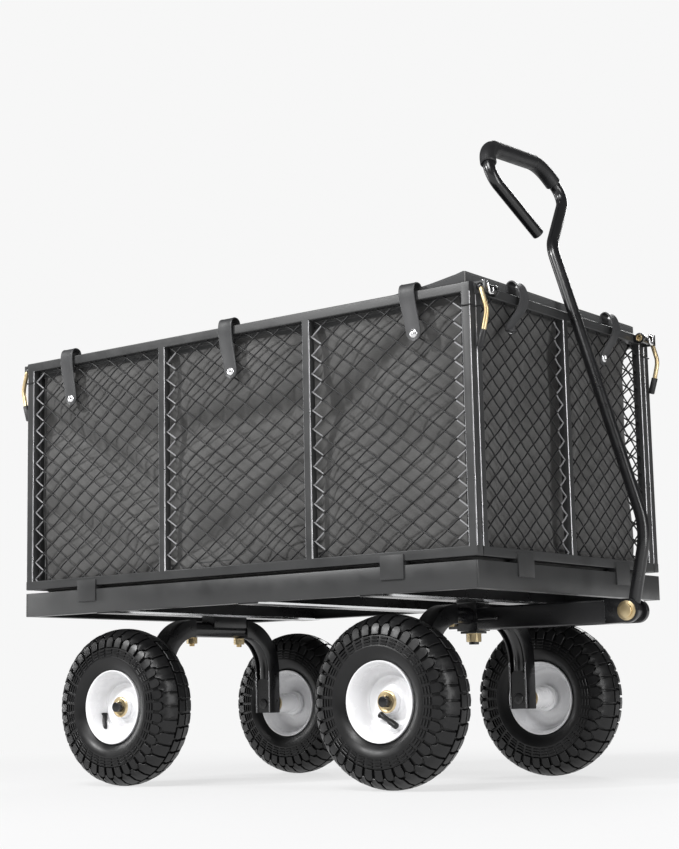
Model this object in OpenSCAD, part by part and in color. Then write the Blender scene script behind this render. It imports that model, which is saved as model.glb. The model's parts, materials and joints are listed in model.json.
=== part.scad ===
// Four-wheel garden cart: flat steel bed, lift-off mesh sides with a fabric liner,
// bent-tube axles, a front axle that steers on a kingpin, and a pull handle.
// +X is the handle end, +Y the left side, +Z up. Wheels stand on Z = 0.

/* [Bed] */
// Length of the bed along the cart
bed_length = 930; // [860:1:1000]
// Width of the bed across the cart
bed_width = 558; // [540:1:620]
// Height of the bed's lower edge above the ground
bed_bottom = 287; // [287:1:300]
// Height of the folded rail round the bed
rail_height = 40; // [36:1:44]
// Thickness of the bed's sheet steel
sheet = 2; // [1.5:0.1:2.5]
// Width of a cross member
cross_width = 40; // [36:1:46]
// Distance of the middle cross member in front of the bed's centre
cross_middle_x = 36; // [0:1:60]

/* [Basket] */
// Gap between the bed rail and the lowest tube of the mesh panels
panel_gap = 6; // [4:0.5:8]
// Height of a mesh panel
panel_height = 400; // [360:1:430]
// Side of the square tube that frames a panel
frame_tube = 15; // [14:0.5:18]
// Wall thickness of that square tube
frame_wall = 1.2; // [1:0.1:2]
// Face width of an upright inside a panel
upright_width = 14; // [12:0.5:16]
// Distance between the two uprights of a side panel
upright_spacing = 305; // [280:1:320]
// How far forward the pair of side uprights sits
upright_shift = 8; // [0:1:12]
// Thickness of a mesh wire
wire = 2.2; // [1.8:0.1:2.4]
// Width of a mesh diamond in a side panel
side_diamond = 41; // [38:1:46]
// Width of a mesh diamond in an end panel
end_diamond = 36; // [34:1:46]
// Height of a mesh diamond
diamond_height = 29; // [27:1:34]
// Width of a hook tab on a side panel
side_tab = 42; // [36:1:50]
// Distance of the side hook tabs from the middle of the bed
side_tab_x = 316; // [300:1:330]
// Distance of the end hook tabs from the cart's centre line
end_tab_y = 150; // [140:1:165]

/* [Liner] */
// Clear gap between the liner and the panels
liner_gap = 2; // [1.5:0.5:4]
// Thickness of the liner wall
liner_wall = 4; // [3:0.5:5]
// How far the liner stands above the top rail
liner_rise = 21; // [10:1:24]
// Distance of the outer side straps from the middle of the bed
strap_x = 362; // [340:1:380]
// Distance of the end straps from the cart's centre line
strap_y = 150; // [120:1:170]
// Width of a strap
strap_width = 30; // [24:1:34]
// Length of a strap below the top rail
strap_drop = 86; // [70:1:95]

/* [Wheels] */
// Outer diameter of a tyre
tyre_diameter = 260; // [258:1:262]
// Section width of a tyre
tyre_width = 80; // [78:1:84]
// Diameter of the rim over its flanges
rim_diameter = 121; // [120:0.5:122]
// Distance of the wheel centres from the cart's centre line
wheel_y = 231; // [230:1:236]
// Distance of each axle from the middle of the bed
axle_x = 274; // [268:1:280]
// Diameter of the stub axles
axle_diameter = 16; // [14:0.5:16]

/* [Axles and steering] */
// Outer diameter of the arched axle tube
arch_tube = 27; // [25:0.5:27]
// Height of the arch's level run
arch_height = 262; // [258:1:262]
// Bend radius of the arch at the tube's centre line
arch_bend = 73; // [70:1:76]
// Diameter of the kingpin
kingpin_diameter = 16; // [14:1:18]
// Side of the square kingpin housing
housing_size = 38; // [36:1:40]
// Height of the drawbar section
drawbar_height = 36; // [34:1:38]
// Distance of the handle pivot in front of the middle of the bed
pivot_x = 560; // [550:1:575]
// Height of the handle pivot
pivot_z = 257.5; // [255:0.5:260]

/* [Handle] */
// Diameter of the handle tube
handle_tube_diameter = 19; // [18:0.5:20]
// Wall thickness of the handle tube
handle_wall = 2; // [1.5:0.1:3]
// Diameter of the foam grip
grip_diameter = 26; // [24:0.5:28]
// Forward lean of the handle's lowest stretch
lower_lean = 12.9; // [11:0.1:15]
// Length from the pivot to the first bend
lower_length = 124.7; // [115:0.1:135]
// Backward lean of the long straight stretch
upper_lean = 17.1; // [16.8:0.1:17.2]
// Length from the first bend to the foot of the grip loop
upper_length = 485; // [470:1:500]

/* [Hidden] */
$fn = 48;

// Colours
charcoal = "#47484a";
gloss_black = "#151516";
zinc = "#d8dadb";
brass = "#c99b3a";
liner_grey = "#5a5956";

// Heights
rail_top = bed_bottom + rail_height;
panel_bottom = rail_top + panel_gap;
panel_top = panel_bottom + panel_height;
strap_plate = 2;
cross_bottom = bed_bottom - strap_plate;
floor_bottom = rail_top - 2 * sheet - 0.2;
axle_z = tyre_diameter / 2;

// Half sizes of the bed
half_l = bed_length / 2;
half_w = bed_width / 2;
rail_lip = 18;
end_gap = 2;

// Swept tubes: sides round the tube and the largest turn between two rings
tube_sides = 16;
bend_step = 11;

// Latches at the four top corners
latch_reach = 11;
latch_z = panel_top - 9;
latch_rod = 4;
lever_bulge = 13;
lever_y = half_w - 7;

// Hitch
clevis_nose = drawbar_height / 2;
clevis_base = pivot_x - clevis_nose - 20;
cheek_inner = 11;
cheek_outer = 19;
running = 0.05;

// Handle stem seen from the side, from the pivot eye to the run that leads into the loop
stem_lead = 60;
stem_dir = [-sin(upper_lean), 0, cos(upper_lean)];
stem_face = [cos(upper_lean), 0, sin(upper_lean)];
stem_foot = [pivot_x + 13.6 * sin(lower_lean), pivot_z + 13.6 * cos(lower_lean)];
stem_bend = [pivot_x + lower_length * sin(lower_lean), pivot_z + lower_length * cos(lower_lean)];
stem_joint = stem_bend + (upper_length - stem_lead) * [stem_dir.x, stem_dir.z];
stem_top = [stem_bend.x, 0, stem_bend.y] + upper_length * stem_dir;
stem_path = rounded_path([stem_foot, stem_bend, stem_joint], [0, 120, 0]);

// The origin is below the middle of the whole length, handle bend to rear latches
front_reach = max([for (q = stem_path) q.x + handle_tube_diameter / 2 * sin(q.z)]);
rear_reach = half_l + latch_reach + lever_bulge + latch_rod;
middle_x = (front_reach - rear_reach) / 2;

// Arch
leg_y = wheel_y - 89;
bend_y = leg_y - arch_bend;
bend_z = arch_height - arch_bend;
tube_end_z = 175;
leg_bottom = 113;
channel_wall = 2.5;
channel_in = arch_tube / 2 + 0.25;
channel_out = channel_in + channel_wall;
web_out = channel_in + 3;
web_y = leg_y + web_out;
mount_bolt_y = 64;

// Wheel section, measured outwards from the wheel's middle plane
flange_w = 33;
hub_out = 11;
hub_in = -66;
hub_r = 17.5;
bearing_r = 14;

// Kingpin stack, from the bed down
plate_thick = 3;
plate_gap = 0.4;
housing_top = cross_bottom - plate_thick - plate_gap;
housing_bottom = 238.3;
washer_thick = 4;
washer_top = housing_bottom - 0.3;
nut_height = 13;

// ---------------------------------------------------------------- helpers

// Moves a piece from the bed's middle to the cart's own frame
module cart() translate([-middle_x, 0, 0]) children();

// Square outline with rounded corners, centred
module rounded(w, h, r = 1.8) {
    square([w - 2 * r, h], center = true);
    square([w, h - 2 * r], center = true);
    for (sx = [-1, 1], sy = [-1, 1])
        translate([sx * (w / 2 - r), sy * (h / 2 - r)]) circle(r, $fn = 24);
}

// Tube bars of a frame, from one end to the other along each axis
module bar_x(x0, x1, y, z, wy, wz)
    translate([x0, y, z]) rotate([90, 0, 90]) linear_extrude(x1 - x0) rounded(wy, wz);
module bar_y(y0, y1, x, z, wx, wz)
    translate([x, y1, z]) rotate([90, 0, 0]) linear_extrude(y1 - y0) rounded(wx, wz);
module bar_z(z0, z1, x, y, wx, wy)
    translate([x, y, z0]) linear_extrude(z1 - z0) rounded(wx, wy);

// Box from its low corner to its high corner
module block(lo, hi) translate(lo) cube(hi - lo);

// Cylinder along Y
module rod_y(y0, y1, x, z, r, fn = 48)
    translate([x, y1, z]) rotate([90, 0, 0]) cylinder(r = r, h = y1 - y0, $fn = fn);

// Hexagon along Y
module hex_y(y0, y1, x, z, flats)
    translate([x, y1, z]) rotate([90, 0, 0]) cylinder(r = flats / sqrt(3), h = y1 - y0, $fn = 6);

// Round rod through a list of points, with slightly larger ball corners
module rod_path(points, r) {
    for (i = [0 : len(points) - 2]) {
        a = points[i];
        d = points[i + 1] - a;
        translate(a) rotate([0, acos(d.z / norm(d)), atan2(d.y, d.x)])
            cylinder(r = r, h = norm(d), $fn = 32);
    }
    for (i = [1 : len(points) - 1]) translate(points[i]) sphere(r + 0.3, $fn = 32);
}

// Ring outline of a tube
module tube_outline(outer, inner) difference() {
    circle(outer);
    circle(inner);
}

// Direction of travel from one point to the next, in degrees
function heading(a, b) = atan2(b.y - a.y, b.x - a.x);
// Signed turn at point i of a flat path, between -180 and 180 degrees
function turn(p, i) = let (t = heading(p[i], p[i + 1]) - heading(p[i - 1], p[i]))
    t > 180 ? t - 360 : t < -180 ? t + 360 : t;
// Length that a bend takes off each of its two straight neighbours
function setback(p, bends, i) = i == 0 || i == len(p) - 1 ? 0 : bends[i] * tan(abs(turn(p, i)) / 2);

// Points along a flat path with rounded corners, each with its heading
function rounded_path(p, bends) = [
    for (i = [0 : len(p) - 1])
        let (end = i == 0 || i == len(p) - 1, t = end ? 0 : turn(p, i))
        let (steps = ceil(abs(t) / bend_step))
        for (k = [0 : steps])
            end ? [p[i].x, p[i].y, i == 0 ? heading(p[0], p[1]) : heading(p[i - 1], p[i])]
                : let (
                    back = heading(p[i - 1], p[i]),
                    start = p[i] - setback(p, bends, i) * [cos(back), sin(back)],
                    h = back + t * k / steps,
                    r = sign(t) * bends[i]
                ) [start.x + r * (sin(h) - sin(back)), start.y - r * (cos(h) - cos(back)), h]
];

// Ring of points round each station of a path: a station is [centre, first axis, second axis]
function rings(stations, r) = [
    for (s = stations, k = [0 : tube_sides - 1])
        let (a = 360 * k / tube_sides) s[0] + r * (cos(a) * s[1] + sin(a) * s[2])
];

// Quads that join neighbouring rings into a skin, outwards or inwards
function skin(count, first, outwards) = [
    for (i = [0 : count - 2], k = [0 : tube_sides - 1])
        let (a = first + i * tube_sides + k, b = first + i * tube_sides + (k + 1) % tube_sides)
        outwards ? [a, b, b + tube_sides, a + tube_sides] : [a, a + tube_sides, b + tube_sides, b]
];

// Solid rod along a list of stations
module swept_rod(stations, r) {
    n = len(stations);
    polyhedron(rings(stations, r), concat(
        skin(n, 0, true),
        [[for (k = [tube_sides - 1 : -1 : 0]) k]],
        [[for (k = [0 : tube_sides - 1]) (n - 1) * tube_sides + k]]
    ));
}

// Sleeve along a list of stations, with an inner and an outer skin
module swept_sleeve(stations, outer, inner) {
    n = len(stations);
    shift = n * tube_sides;
    last = (n - 1) * tube_sides;
    polyhedron(concat(rings(stations, outer), rings(stations, inner)), concat(
        skin(n, 0, true), skin(n, shift, false),
        [for (k = [0 : tube_sides - 1]) let (j = (k + 1) % tube_sides) [k, shift + k, shift + j, j]],
        [for (k = [0 : tube_sides - 1]) let (j = (k + 1) % tube_sides)
            [last + k, last + j, last + shift + j, last + shift + k]]
    ));
}

// ---------------------------------------------------------------- bed

// Folded rail along one side: outer wall with a lip at the top and at the bottom
module bed_side_rail(side) color(charcoal) cart() difference() {
    x = half_l - sheet - 0.2;
    translate([0, side * (half_w - rail_lip / 2), (bed_bottom + rail_top) / 2])
        cube([2 * x, rail_lip, rail_height], center = true);
    translate([0, side * (half_w - rail_lip / 2 - sheet), (bed_bottom + rail_top) / 2])
        cube([2 * x + 2, rail_lip, rail_height - 2 * sheet], center = true);
}

module bed_side_rail_left() bed_side_rail(1);
module bed_side_rail_right() bed_side_rail(-1);

// Folded rail across one end, with its lips between the side rails
module bed_end_rail(end) color(charcoal) cart() {
    lip_y = half_w - rail_lip - 0.3;
    block([min(end * half_l, end * (half_l - sheet)), -half_w, bed_bottom],
          [max(end * half_l, end * (half_l - sheet)), half_w, rail_top]);
    for (z = [bed_bottom, rail_top - sheet])
        block([min(end * half_l, end * (half_l - rail_lip)), -lip_y, z],
              [max(end * half_l, end * (half_l - rail_lip)), lip_y, z + sheet]);
}

module bed_end_rail_front() bed_end_rail(1);
module bed_end_rail_rear() bed_end_rail(-1);

// Sheet floor under the top lips
module bed_floor() color(charcoal) cart()
    block([-half_l + sheet + 0.4, -half_w + sheet + 0.4, floor_bottom],
          [half_l - sheet - 0.4, half_w - sheet - 0.4, floor_bottom + sheet]);

// Channel across the bed, open upwards, on a plated strap that runs under the side rails
module cross_member(x, bolts_y, bolt_r) color(zinc) cart() difference() {
    wall_y = half_w - rail_lip - 1;
    union() {
        block([x - cross_width / 2, -half_w + 1, cross_bottom], [x + cross_width / 2, half_w - 1, bed_bottom]);
        for (s = [-1, 1])
            translate([x + s * (cross_width / 2 - 1.25), 0, (bed_bottom + floor_bottom) / 2 - 0.1])
                cube([2.5, 2 * wall_y, floor_bottom - bed_bottom - 0.2], center = true);
    }
    for (y = bolts_y) translate([x, y, cross_bottom - 1]) cylinder(r = bolt_r, h = 4);
}

module cross_member_front() cross_member(axle_x, [0], kingpin_diameter / 2 + 0.2);
module cross_member_middle() cross_member(cross_middle_x, [], 1);
module cross_member_rear() cross_member(-axle_x, [-mount_bolt_y, mount_bolt_y], 5.2);

// ---------------------------------------------------------------- axles

// Level run, bend and down-leg of an arched axle on the left side
module arch_half(x, inner_y) translate([x, 0, 0]) {
    outer = arch_tube / 2;
    inner = outer - 2.5;
    translate([0, inner_y, arch_height]) rotate([90, 0, 180]) linear_extrude(bend_y - inner_y)
        tube_outline(outer, inner);
    translate([0, bend_y, bend_z]) rotate([90, 0, 90]) rotate_extrude(angle = 90)
        translate([arch_bend, 0]) tube_outline(outer, inner);
    translate([0, leg_y, tube_end_z]) linear_extrude(bend_z - tube_end_z) tube_outline(outer, inner);
}

// One tube from leg to leg, drilled for the two mounting bolts, with a packer under the bed
module rear_axle_arch() color(gloss_black) cart() {
    difference() {
        union() {
            arch_half(-axle_x, 0);
            mirror([0, 1, 0]) arch_half(-axle_x, 0);
            difference() {
                block([-axle_x - 15, -20, arch_height + 4], [-axle_x + 15, bend_y - 1, cross_bottom]);
                rod_y(-21, bend_y, -axle_x, arch_height, arch_tube / 2 - 1);
            }
        }
        for (y = [-mount_bolt_y, mount_bolt_y])
            translate([-axle_x, y, arch_height - 20]) cylinder(r = 5.2, h = 50);
    }
}

// Tube halves that start at the kingpin housing
module front_axle_arch() color(gloss_black) cart() {
    arch_half(axle_x, housing_size / 2);
    mirror([0, 1, 0]) arch_half(axle_x, housing_size / 2);
}

// U outline that wraps a tube: X across, Y outwards from the tube's centre line
module channel_outline() difference() {
    translate([-channel_out, -arch_tube / 2]) square([2 * channel_out, arch_tube / 2 + web_out]);
    translate([-channel_in, -arch_tube / 2 - 1]) square([2 * channel_in, arch_tube / 2 + channel_in + 1]);
}

// Pressed channel on the outside of the bend and down to the stub axle
module leg(x, side) color(gloss_black) cart() mirror([0, side < 0 ? 1 : 0, 0]) translate([x, 0, 0]) {
    translate([0, bend_y, bend_z]) rotate([90, 0, 90]) rotate_extrude(angle = 90)
        translate([arch_bend, 0]) rotate([0, 0, -90]) channel_outline();
    difference() {
        translate([0, leg_y, leg_bottom]) linear_extrude(bend_z - leg_bottom) channel_outline();
        rod_y(leg_y, leg_y + 40, 0, axle_z, axle_diameter / 2 + 0.05);
    }
}

module rear_leg_left() leg(-axle_x, 1);
module rear_leg_right() leg(-axle_x, -1);
module front_leg_left() leg(axle_x, 1);
module front_leg_right() leg(axle_x, -1);

// Bolt that carries a wheel: head inside the leg, collar outside it, shank through the hub
module stub_axles(x) color(gloss_black) cart() for (side = [0, 1]) mirror([0, side, 0]) {
    r = axle_diameter / 2;
    head_y = leg_y + channel_in;
    rod_y(head_y - 7, head_y, x, axle_z, 10.5);
    rod_y(head_y, wheel_y + 24, x, axle_z, r);
    rod_y(web_y, wheel_y + hub_in - 2.8, x, axle_z, 13);
}

module rear_stub_axles() stub_axles(-axle_x);
module front_stub_axles() stub_axles(axle_x);

// Nuts that keep the wheels on
module axle_nuts(x) color(gloss_black) cart() for (side = [0, 1]) mirror([0, side, 0]) {
    nut_y = wheel_y + hub_out + 3;
    difference() {
        union() {
            hex_y(nut_y, nut_y + 8, x, axle_z, 22);
            rod_y(nut_y + 8, nut_y + 9.5, x, axle_z, 9.5);
        }
        rod_y(nut_y - 1, nut_y + 12, x, axle_z, axle_diameter / 2 + 0.02);
    }
}

module rear_axle_nuts() axle_nuts(-axle_x);
module front_axle_nuts() axle_nuts(axle_x);

// Two bolts that hold the rear arch to its cross member: head, shank, washer and nut
module rear_mount_bolts() color(brass) cart() for (y = [-mount_bolt_y, mount_bolt_y]) {
    tube_bottom = arch_height - arch_tube / 2;
    translate([-axle_x, y, 0]) {
        translate([0, 0, bed_bottom]) cylinder(r = 17 / sqrt(3), h = 6.5, $fn = 6);
        translate([0, 0, tube_bottom - 16]) cylinder(r = 5, h = bed_bottom - tube_bottom + 16);
        translate([0, 0, tube_bottom - 2.5]) cylinder(r = 9.5, h = 2);
        translate([0, 0, tube_bottom - 11.5]) cylinder(r = 17 / sqrt(3), h = 9, $fn = 6);
    }
}

// ---------------------------------------------------------------- steering

// Kingpin bolt: head inside the front cross member, shank down through the housing
module kingpin() color(gloss_black) cart() translate([axle_x, 0, 0]) {
    translate([0, 0, bed_bottom]) cylinder(r = 24 / sqrt(3), h = 10, $fn = 6);
    translate([0, 0, washer_top - washer_thick - nut_height - 4])
        cylinder(r = kingpin_diameter / 2, h = bed_bottom - washer_top + washer_thick + nut_height + 4);
}

// Square washer and brass nut under the housing
module kingpin_nut() color(brass) cart() translate([axle_x, 0, 0]) difference() {
    union() {
        translate([0, 0, washer_top - washer_thick / 2])
            cube([housing_size, housing_size, washer_thick], center = true);
        translate([0, 0, washer_top - washer_thick - nut_height])
            cylinder(r = 24 / sqrt(3), h = nut_height, $fn = 6);
    }
    translate([0, 0, washer_top - 30]) cylinder(r = kingpin_diameter / 2 + 0.02, h = 40);
}

// Thrust plate between the bed and the housing
module turntable_plate() color(gloss_black) cart() difference() {
    block([axle_x - 19, -19, cross_bottom - plate_thick], [axle_x + 19, 19, cross_bottom]);
    translate([axle_x, 0, cross_bottom - 10]) cylinder(r = kingpin_diameter / 2 + 0.2, h = 20);
}

// Block bored for the kingpin, with two lugs behind it for the cross bolt
module kingpin_housing() color(gloss_black) cart() difference() {
    h = housing_size / 2;
    union() {
        block([axle_x - h, -h, housing_bottom], [axle_x + h, h, housing_top]);
        block([axle_x - h - 16, -h, 242], [axle_x - h, h, 270]);
    }
    block([axle_x - h - 20, -h + 5, 238], [axle_x - h - 2, h - 5, 275]);
    translate([axle_x, 0, housing_bottom - 5]) cylinder(r = kingpin_diameter / 2 + running, h = 60);
    rod_y(-30, 30, axle_x - h - 8, 256, 5.1);
}

// Square tube from the housing to the clevis
module drawbar() color(gloss_black) cart() difference() {
    x0 = axle_x + housing_size / 2;
    length = clevis_base - x0;
    translate([x0, 0, pivot_z]) rotate([90, 0, 90]) linear_extrude(length)
        rounded(2 * cheek_outer, drawbar_height, 3);
    translate([x0 - 1, 0, pivot_z]) rotate([90, 0, 90]) linear_extrude(length + 2)
        rounded(2 * cheek_outer - 6, drawbar_height - 6, 1);
}

// Fork with round-nosed cheeks for the handle pivot
module drawbar_clevis() color(gloss_black) cart() difference() {
    union() {
        block([clevis_base, -cheek_outer, pivot_z - clevis_nose], [pivot_x, cheek_outer, pivot_z + clevis_nose]);
        rod_y(-cheek_outer, cheek_outer, pivot_x, pivot_z, clevis_nose);
    }
    block([pivot_x - clevis_nose + 1.5, -cheek_inner, pivot_z - 30], [pivot_x + 30, cheek_inner, pivot_z + 30]);
    rod_y(-30, 30, pivot_x, pivot_z, 6.05);
}

// Brass cross bolt through the lugs behind the housing, with its nut
module drawbar_bolt() color(brass) cart() {
    x = axle_x - housing_size / 2 - 8;
    h = housing_size / 2;
    hex_y(-h - 6, -h, x, 256, 14);
    rod_y(-h, h + 10, x, 256, 5);
    difference() {
        hex_y(h, h + 7, x, 256, 14);
        rod_y(h - 1, h + 8, x, 256, 5);
    }
}

// Thin wire pin clipped along the near side of the drawbar
module lock_pin() color(gloss_black) cart() {
    x = axle_x + housing_size / 2 + 4;
    rod_path([[x, -cheek_outer - 2, 256.5], [x + 34, -cheek_outer - 2, 256.5]], 1.8);
    translate([x + 34, -cheek_outer - 3, 256.5]) sphere(3, $fn = 32);
}

// Pivot bolt of the handle: domed brass head, steel washer, shank and nut
module pivot_bolt() color(brass) cart() {
    rod_y(-cheek_outer - 2, -cheek_outer, pivot_x, pivot_z, 17);
    rod_y(-cheek_outer - 9, -cheek_outer - 2, pivot_x, pivot_z, 15);
    rod_y(-cheek_outer, cheek_outer + 11, pivot_x, pivot_z, 6);
    hex_y(cheek_outer, cheek_outer + 9, pivot_x, pivot_z, 19);
}

// ---------------------------------------------------------------- handle

// Corners of the grip loop: across the cart, and along the stem from its top
loop = [[0, -stem_lead], [0, 0], [107, 115], [54, 166], [-113, 155], [-131, 98], [-34, 16]];
loop_bends = [0, 50, 26, 40, 24, 34, 0];

// Stations in the cart's middle plane, and in the plane of the stem and the Y axis
function stem_stations(path) = [
    for (q = path) [[q.x, 0, q.y], [0, 1, 0], [sin(q.z), 0, -cos(q.z)]]
];
function loop_stations(path) = [
    for (q = path)
        [stem_top + [0, q.x, 0] + q.y * stem_dir, [0, sin(q.z), 0] - cos(q.z) * stem_dir, stem_face]
];

// Bent steel tube from the pivot eye to the free end of the loop
module handle_tube() color(gloss_black) cart() {
    stem = [for (i = [0 : len(stem_path) - 2]) stem_path[i]];
    grip = rounded_path(loop, loop_bends);
    outer = handle_tube_diameter / 2;
    swept_sleeve(concat(stem_stations(stem), loop_stations(grip)), outer, outer - handle_wall);
}

// Eye at the foot of the handle, between the clevis cheeks
module handle_eye() color(gloss_black) cart() difference() {
    rod_y(-cheek_inner + 0.4, cheek_inner - 0.4, pivot_x, pivot_z, 13.5);
    rod_y(-20, 20, pivot_x, pivot_z, 6 + running);
}

// Foam sleeve over the top of the loop
module foam_grip() color("#1f1f20") cart() {
    to_corner = [cos(heading(loop[2], loop[3])), sin(heading(loop[2], loop[3]))];
    from_corner = [cos(heading(loop[4], loop[5])), sin(heading(loop[4], loop[5]))];
    path = rounded_path([loop[2] + 26.5 * to_corner, loop[3], loop[4], loop[4] + 36.5 * from_corner],
                        [0, loop_bends[3], loop_bends[4], 0]);
    swept_sleeve(loop_stations(path), grip_diameter / 2, handle_tube_diameter / 2 + 0.3);
}

// Plug on the open end of the tube
module handle_end_cap() color("#1f1f20") cart() {
    along = [cos(heading(loop[5], loop[6])), sin(heading(loop[5], loop[6]))];
    cap = rounded_path([loop[6] + 0.1 * along, loop[6] + 3 * along], [0, 0]);
    swept_rod(loop_stations(cap), handle_tube_diameter / 2);
}

// ---------------------------------------------------------------- wheels

// Puts a wheel built along +Z, outer side up, on its axle
module wheel(end, side) translate([end * axle_x, side * wheel_y, axle_z]) rotate([-90 * side, 0, 0]) children();

// Half outlines of the tyre, radius against distance from its middle plane
tyre_r = tyre_diameter / 2;
tyre_h = tyre_width / 2;
tyre_skin = [[56.5, 25.5], [63, 31], [72, 37], [84, tyre_h], [97, 39.6], [109, 37], [118, 32.5],
             [tyre_r - 5, 24.5], [tyre_r - 1.4, 13]];
tyre_inside = [[tyre_r - 11, 12], [tyre_r - 16, 23], [106, 30], [96, 33], [84, 33.5], [74, 31],
               [66, 25], [60, 19.5], [56.5, 17]];
function flip(points) = [for (i = [len(points) - 1 : -1 : 0]) [points[i].x, -points[i].y]];

// Tyre with the valve stem of its inner tube, at an angle round the wheel
module tyre(end, side, valve) color("#1b1b1c") cart() wheel(end, side) {
    rotate_extrude($fn = 96) polygon(concat(tyre_skin, [[tyre_r, 0]], flip(tyre_skin),
                                    flip(tyre_inside), [[tyre_r - 10, 0]], tyre_inside));
    rotate([0, 0, -side * valve]) translate([41, 0, 5]) rotate([0, -46, 0]) {
        cylinder(r = 3.6, h = 17);
        translate([0, 0, 17]) cylinder(r = 4.6, h = 7);
    }
}

// Pressed rim: rolled flanges, drop centre and dish, with the hub tube through it
module rim(end, side) color("#f1f1f3") cart() wheel(end, side) rotate_extrude($fn = 96) {
    rim_r = rim_diameter / 2;
    polygon([[hub_r, -4], [44, -4], [48, -6], [50.5, -19], [53, -26], [57, -31], [rim_r - 1, -flange_w],
             [rim_r, -32], [rim_r - 2, -29], [55.5, -24.5], [53, -18], [50.8, -4], [50.8, 3],
             [53, 18], [55.5, 24.5], [rim_r - 2, 29], [rim_r, 32], [rim_r - 1, flange_w], [57, 31],
             [53, 26], [50.5, 19], [48, 3], [44, -1], [26, -1], [22, 1.5], [hub_r, 2]]);
    translate([bearing_r, hub_in]) square([hub_r - bearing_r, hub_out - hub_in]);
}

// Flanged bearing bushes in both ends of the hub
module bearings(end, side) color(brass) cart() wheel(end, side) {
    bore = axle_diameter / 2 + running;
    for (z = [hub_out, hub_in]) {
        inward = z > 0 ? -12 : 0;
        outward = z > 0 ? 0 : -2.5;
        rotate_extrude() {
            translate([bore, z + inward]) square([bearing_r - 0.05 - bore, 12]);
            translate([bore, z + outward]) square([16 - bore, 2.5]);
        }
    }
}

module tyre_front_left() tyre(1, 1, 60);
module tyre_front_right() tyre(1, -1, -72);
module tyre_rear_left() tyre(-1, 1, 200);
module tyre_rear_right() tyre(-1, -1, -150);
module rim_front_left() rim(1, 1);
module rim_front_right() rim(1, -1);
module rim_rear_left() rim(-1, 1);
module rim_rear_right() rim(-1, -1);
module bearings_front_left() bearings(1, 1);
module bearings_front_right() bearings(1, -1);
module bearings_rear_left() bearings(-1, 1);
module bearings_rear_right() bearings(-1, -1);

// ---------------------------------------------------------------- basket

end_half = half_w - frame_tube - end_gap;
uprights = [upright_shift - upright_spacing / 2, upright_shift + upright_spacing / 2];

// Mesh panel frame along one side, with hook tabs, seats on the rail and latch ears
module side_panel(side) color(charcoal) cart() mirror([0, side < 0 ? 1 : 0, 0]) difference() {
    side_panel_solid();
    side_tubes(frame_wall);
}

// Side frame's tubes, each side moved in by inset
module side_tubes(inset) {
    y = half_w - frame_tube / 2;
    t = frame_tube - 2 * inset;
    for (z = [panel_bottom + frame_tube / 2, panel_top - frame_tube / 2])
        bar_x(-half_l + inset, half_l - inset, y, z, t, t);
    for (x = [-half_l + frame_tube / 2, half_l - frame_tube / 2])
        bar_z(panel_bottom + 1 + inset, panel_top - 1 - inset, x, y, t, t);
    for (x = uprights) bar_z(panel_bottom + 4, panel_top - 4, x, y, upright_width - 2 * inset, t);
}

// Side frame before its tubes are hollowed, with its tabs and its latch plates
module side_panel_solid() {
    t = frame_tube;
    side_tubes(0);
    for (x = [-side_tab_x, side_tab_x]) {
        block([x - side_tab / 2, half_w + 0.2, rail_top - 20], [x + side_tab / 2, half_w + 2.7, panel_bottom + 10]);
        block([x - side_tab / 2, half_w - 6, panel_bottom + 3], [x + side_tab / 2, half_w + 0.2, panel_bottom + 10]);
        block([x - side_tab / 2, half_w - t, rail_top], [x + side_tab / 2, half_w - 2, panel_bottom + 4]);
    }
    for (end = [-1, 1]) difference() {
        block([min(end * (half_l - 5), end * (half_l + 21)), half_w - t, latch_z - 9],
              [max(end * (half_l - 5), end * (half_l + 21)), half_w - t + 3, latch_z + 9]);
        rod_y(half_w - t - 5, half_w, end * (half_l + latch_reach), latch_z, latch_rod + 0.1);
    }
}

// Mesh panel frame across one end, between the side panels
module end_panel(end) color(charcoal) cart() mirror([end < 0 ? 1 : 0, 0, 0]) difference() {
    end_panel_solid();
    end_tubes(frame_wall);
}

// End frame's tubes, each side moved in by inset
module end_tubes(inset) {
    x = half_l - frame_tube / 2;
    t = frame_tube - 2 * inset;
    for (z = [panel_bottom + frame_tube / 2, panel_top - frame_tube / 2])
        bar_y(-end_half + inset, end_half - inset, x, z, t, t);
    for (y = [-end_half + upright_width / 2, 0, end_half - upright_width / 2]) {
        gap = y == 0 ? 4 : 1 + inset;
        bar_z(panel_bottom + gap, panel_top - gap, x, y, t, upright_width - 2 * inset);
    }
}

// End frame before its tubes are hollowed, with its tabs
module end_panel_solid() {
    t = frame_tube;
    end_tubes(0);
    for (y = [-end_tab_y, end_tab_y]) {
        block([half_l + 0.2, y - 22, rail_top - 20], [half_l + 2.7, y + 22, panel_bottom + 10]);
        block([half_l - 6, y - 22, panel_bottom + 3], [half_l + 0.2, y + 22, panel_bottom + 10]);
        block([half_l - t, y - 22, rail_top], [half_l - 2, y + 22, panel_bottom + 4]);
    }
}

// Parallel wires at one slant, clipped to a bay that is w wide and h high
module wire_layer(w, h, diamond, slant) intersection() {
    square([w, h], center = true);
    rotate(slant) for (i = [-ceil((w + h) / diamond) : ceil((w + h) / diamond)])
        translate([0, i * diamond * abs(sin(slant))]) square([3 * (w + h), wire], center = true);
}

// Diamond mesh of one bay in two wire layers, built flat and centred
module bay(w, h, diamond) {
    slant = atan(diamond_height / diamond);
    translate([0, 0, 0.1]) linear_extrude(wire) wire_layer(w, h, diamond, slant);
    translate([0, 0, -wire - 0.1]) linear_extrude(wire) wire_layer(w, h, diamond, -slant);
}

bay_height = panel_height - 2 * frame_tube - 0.2;
bay_z = panel_bottom + panel_height / 2;

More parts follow.
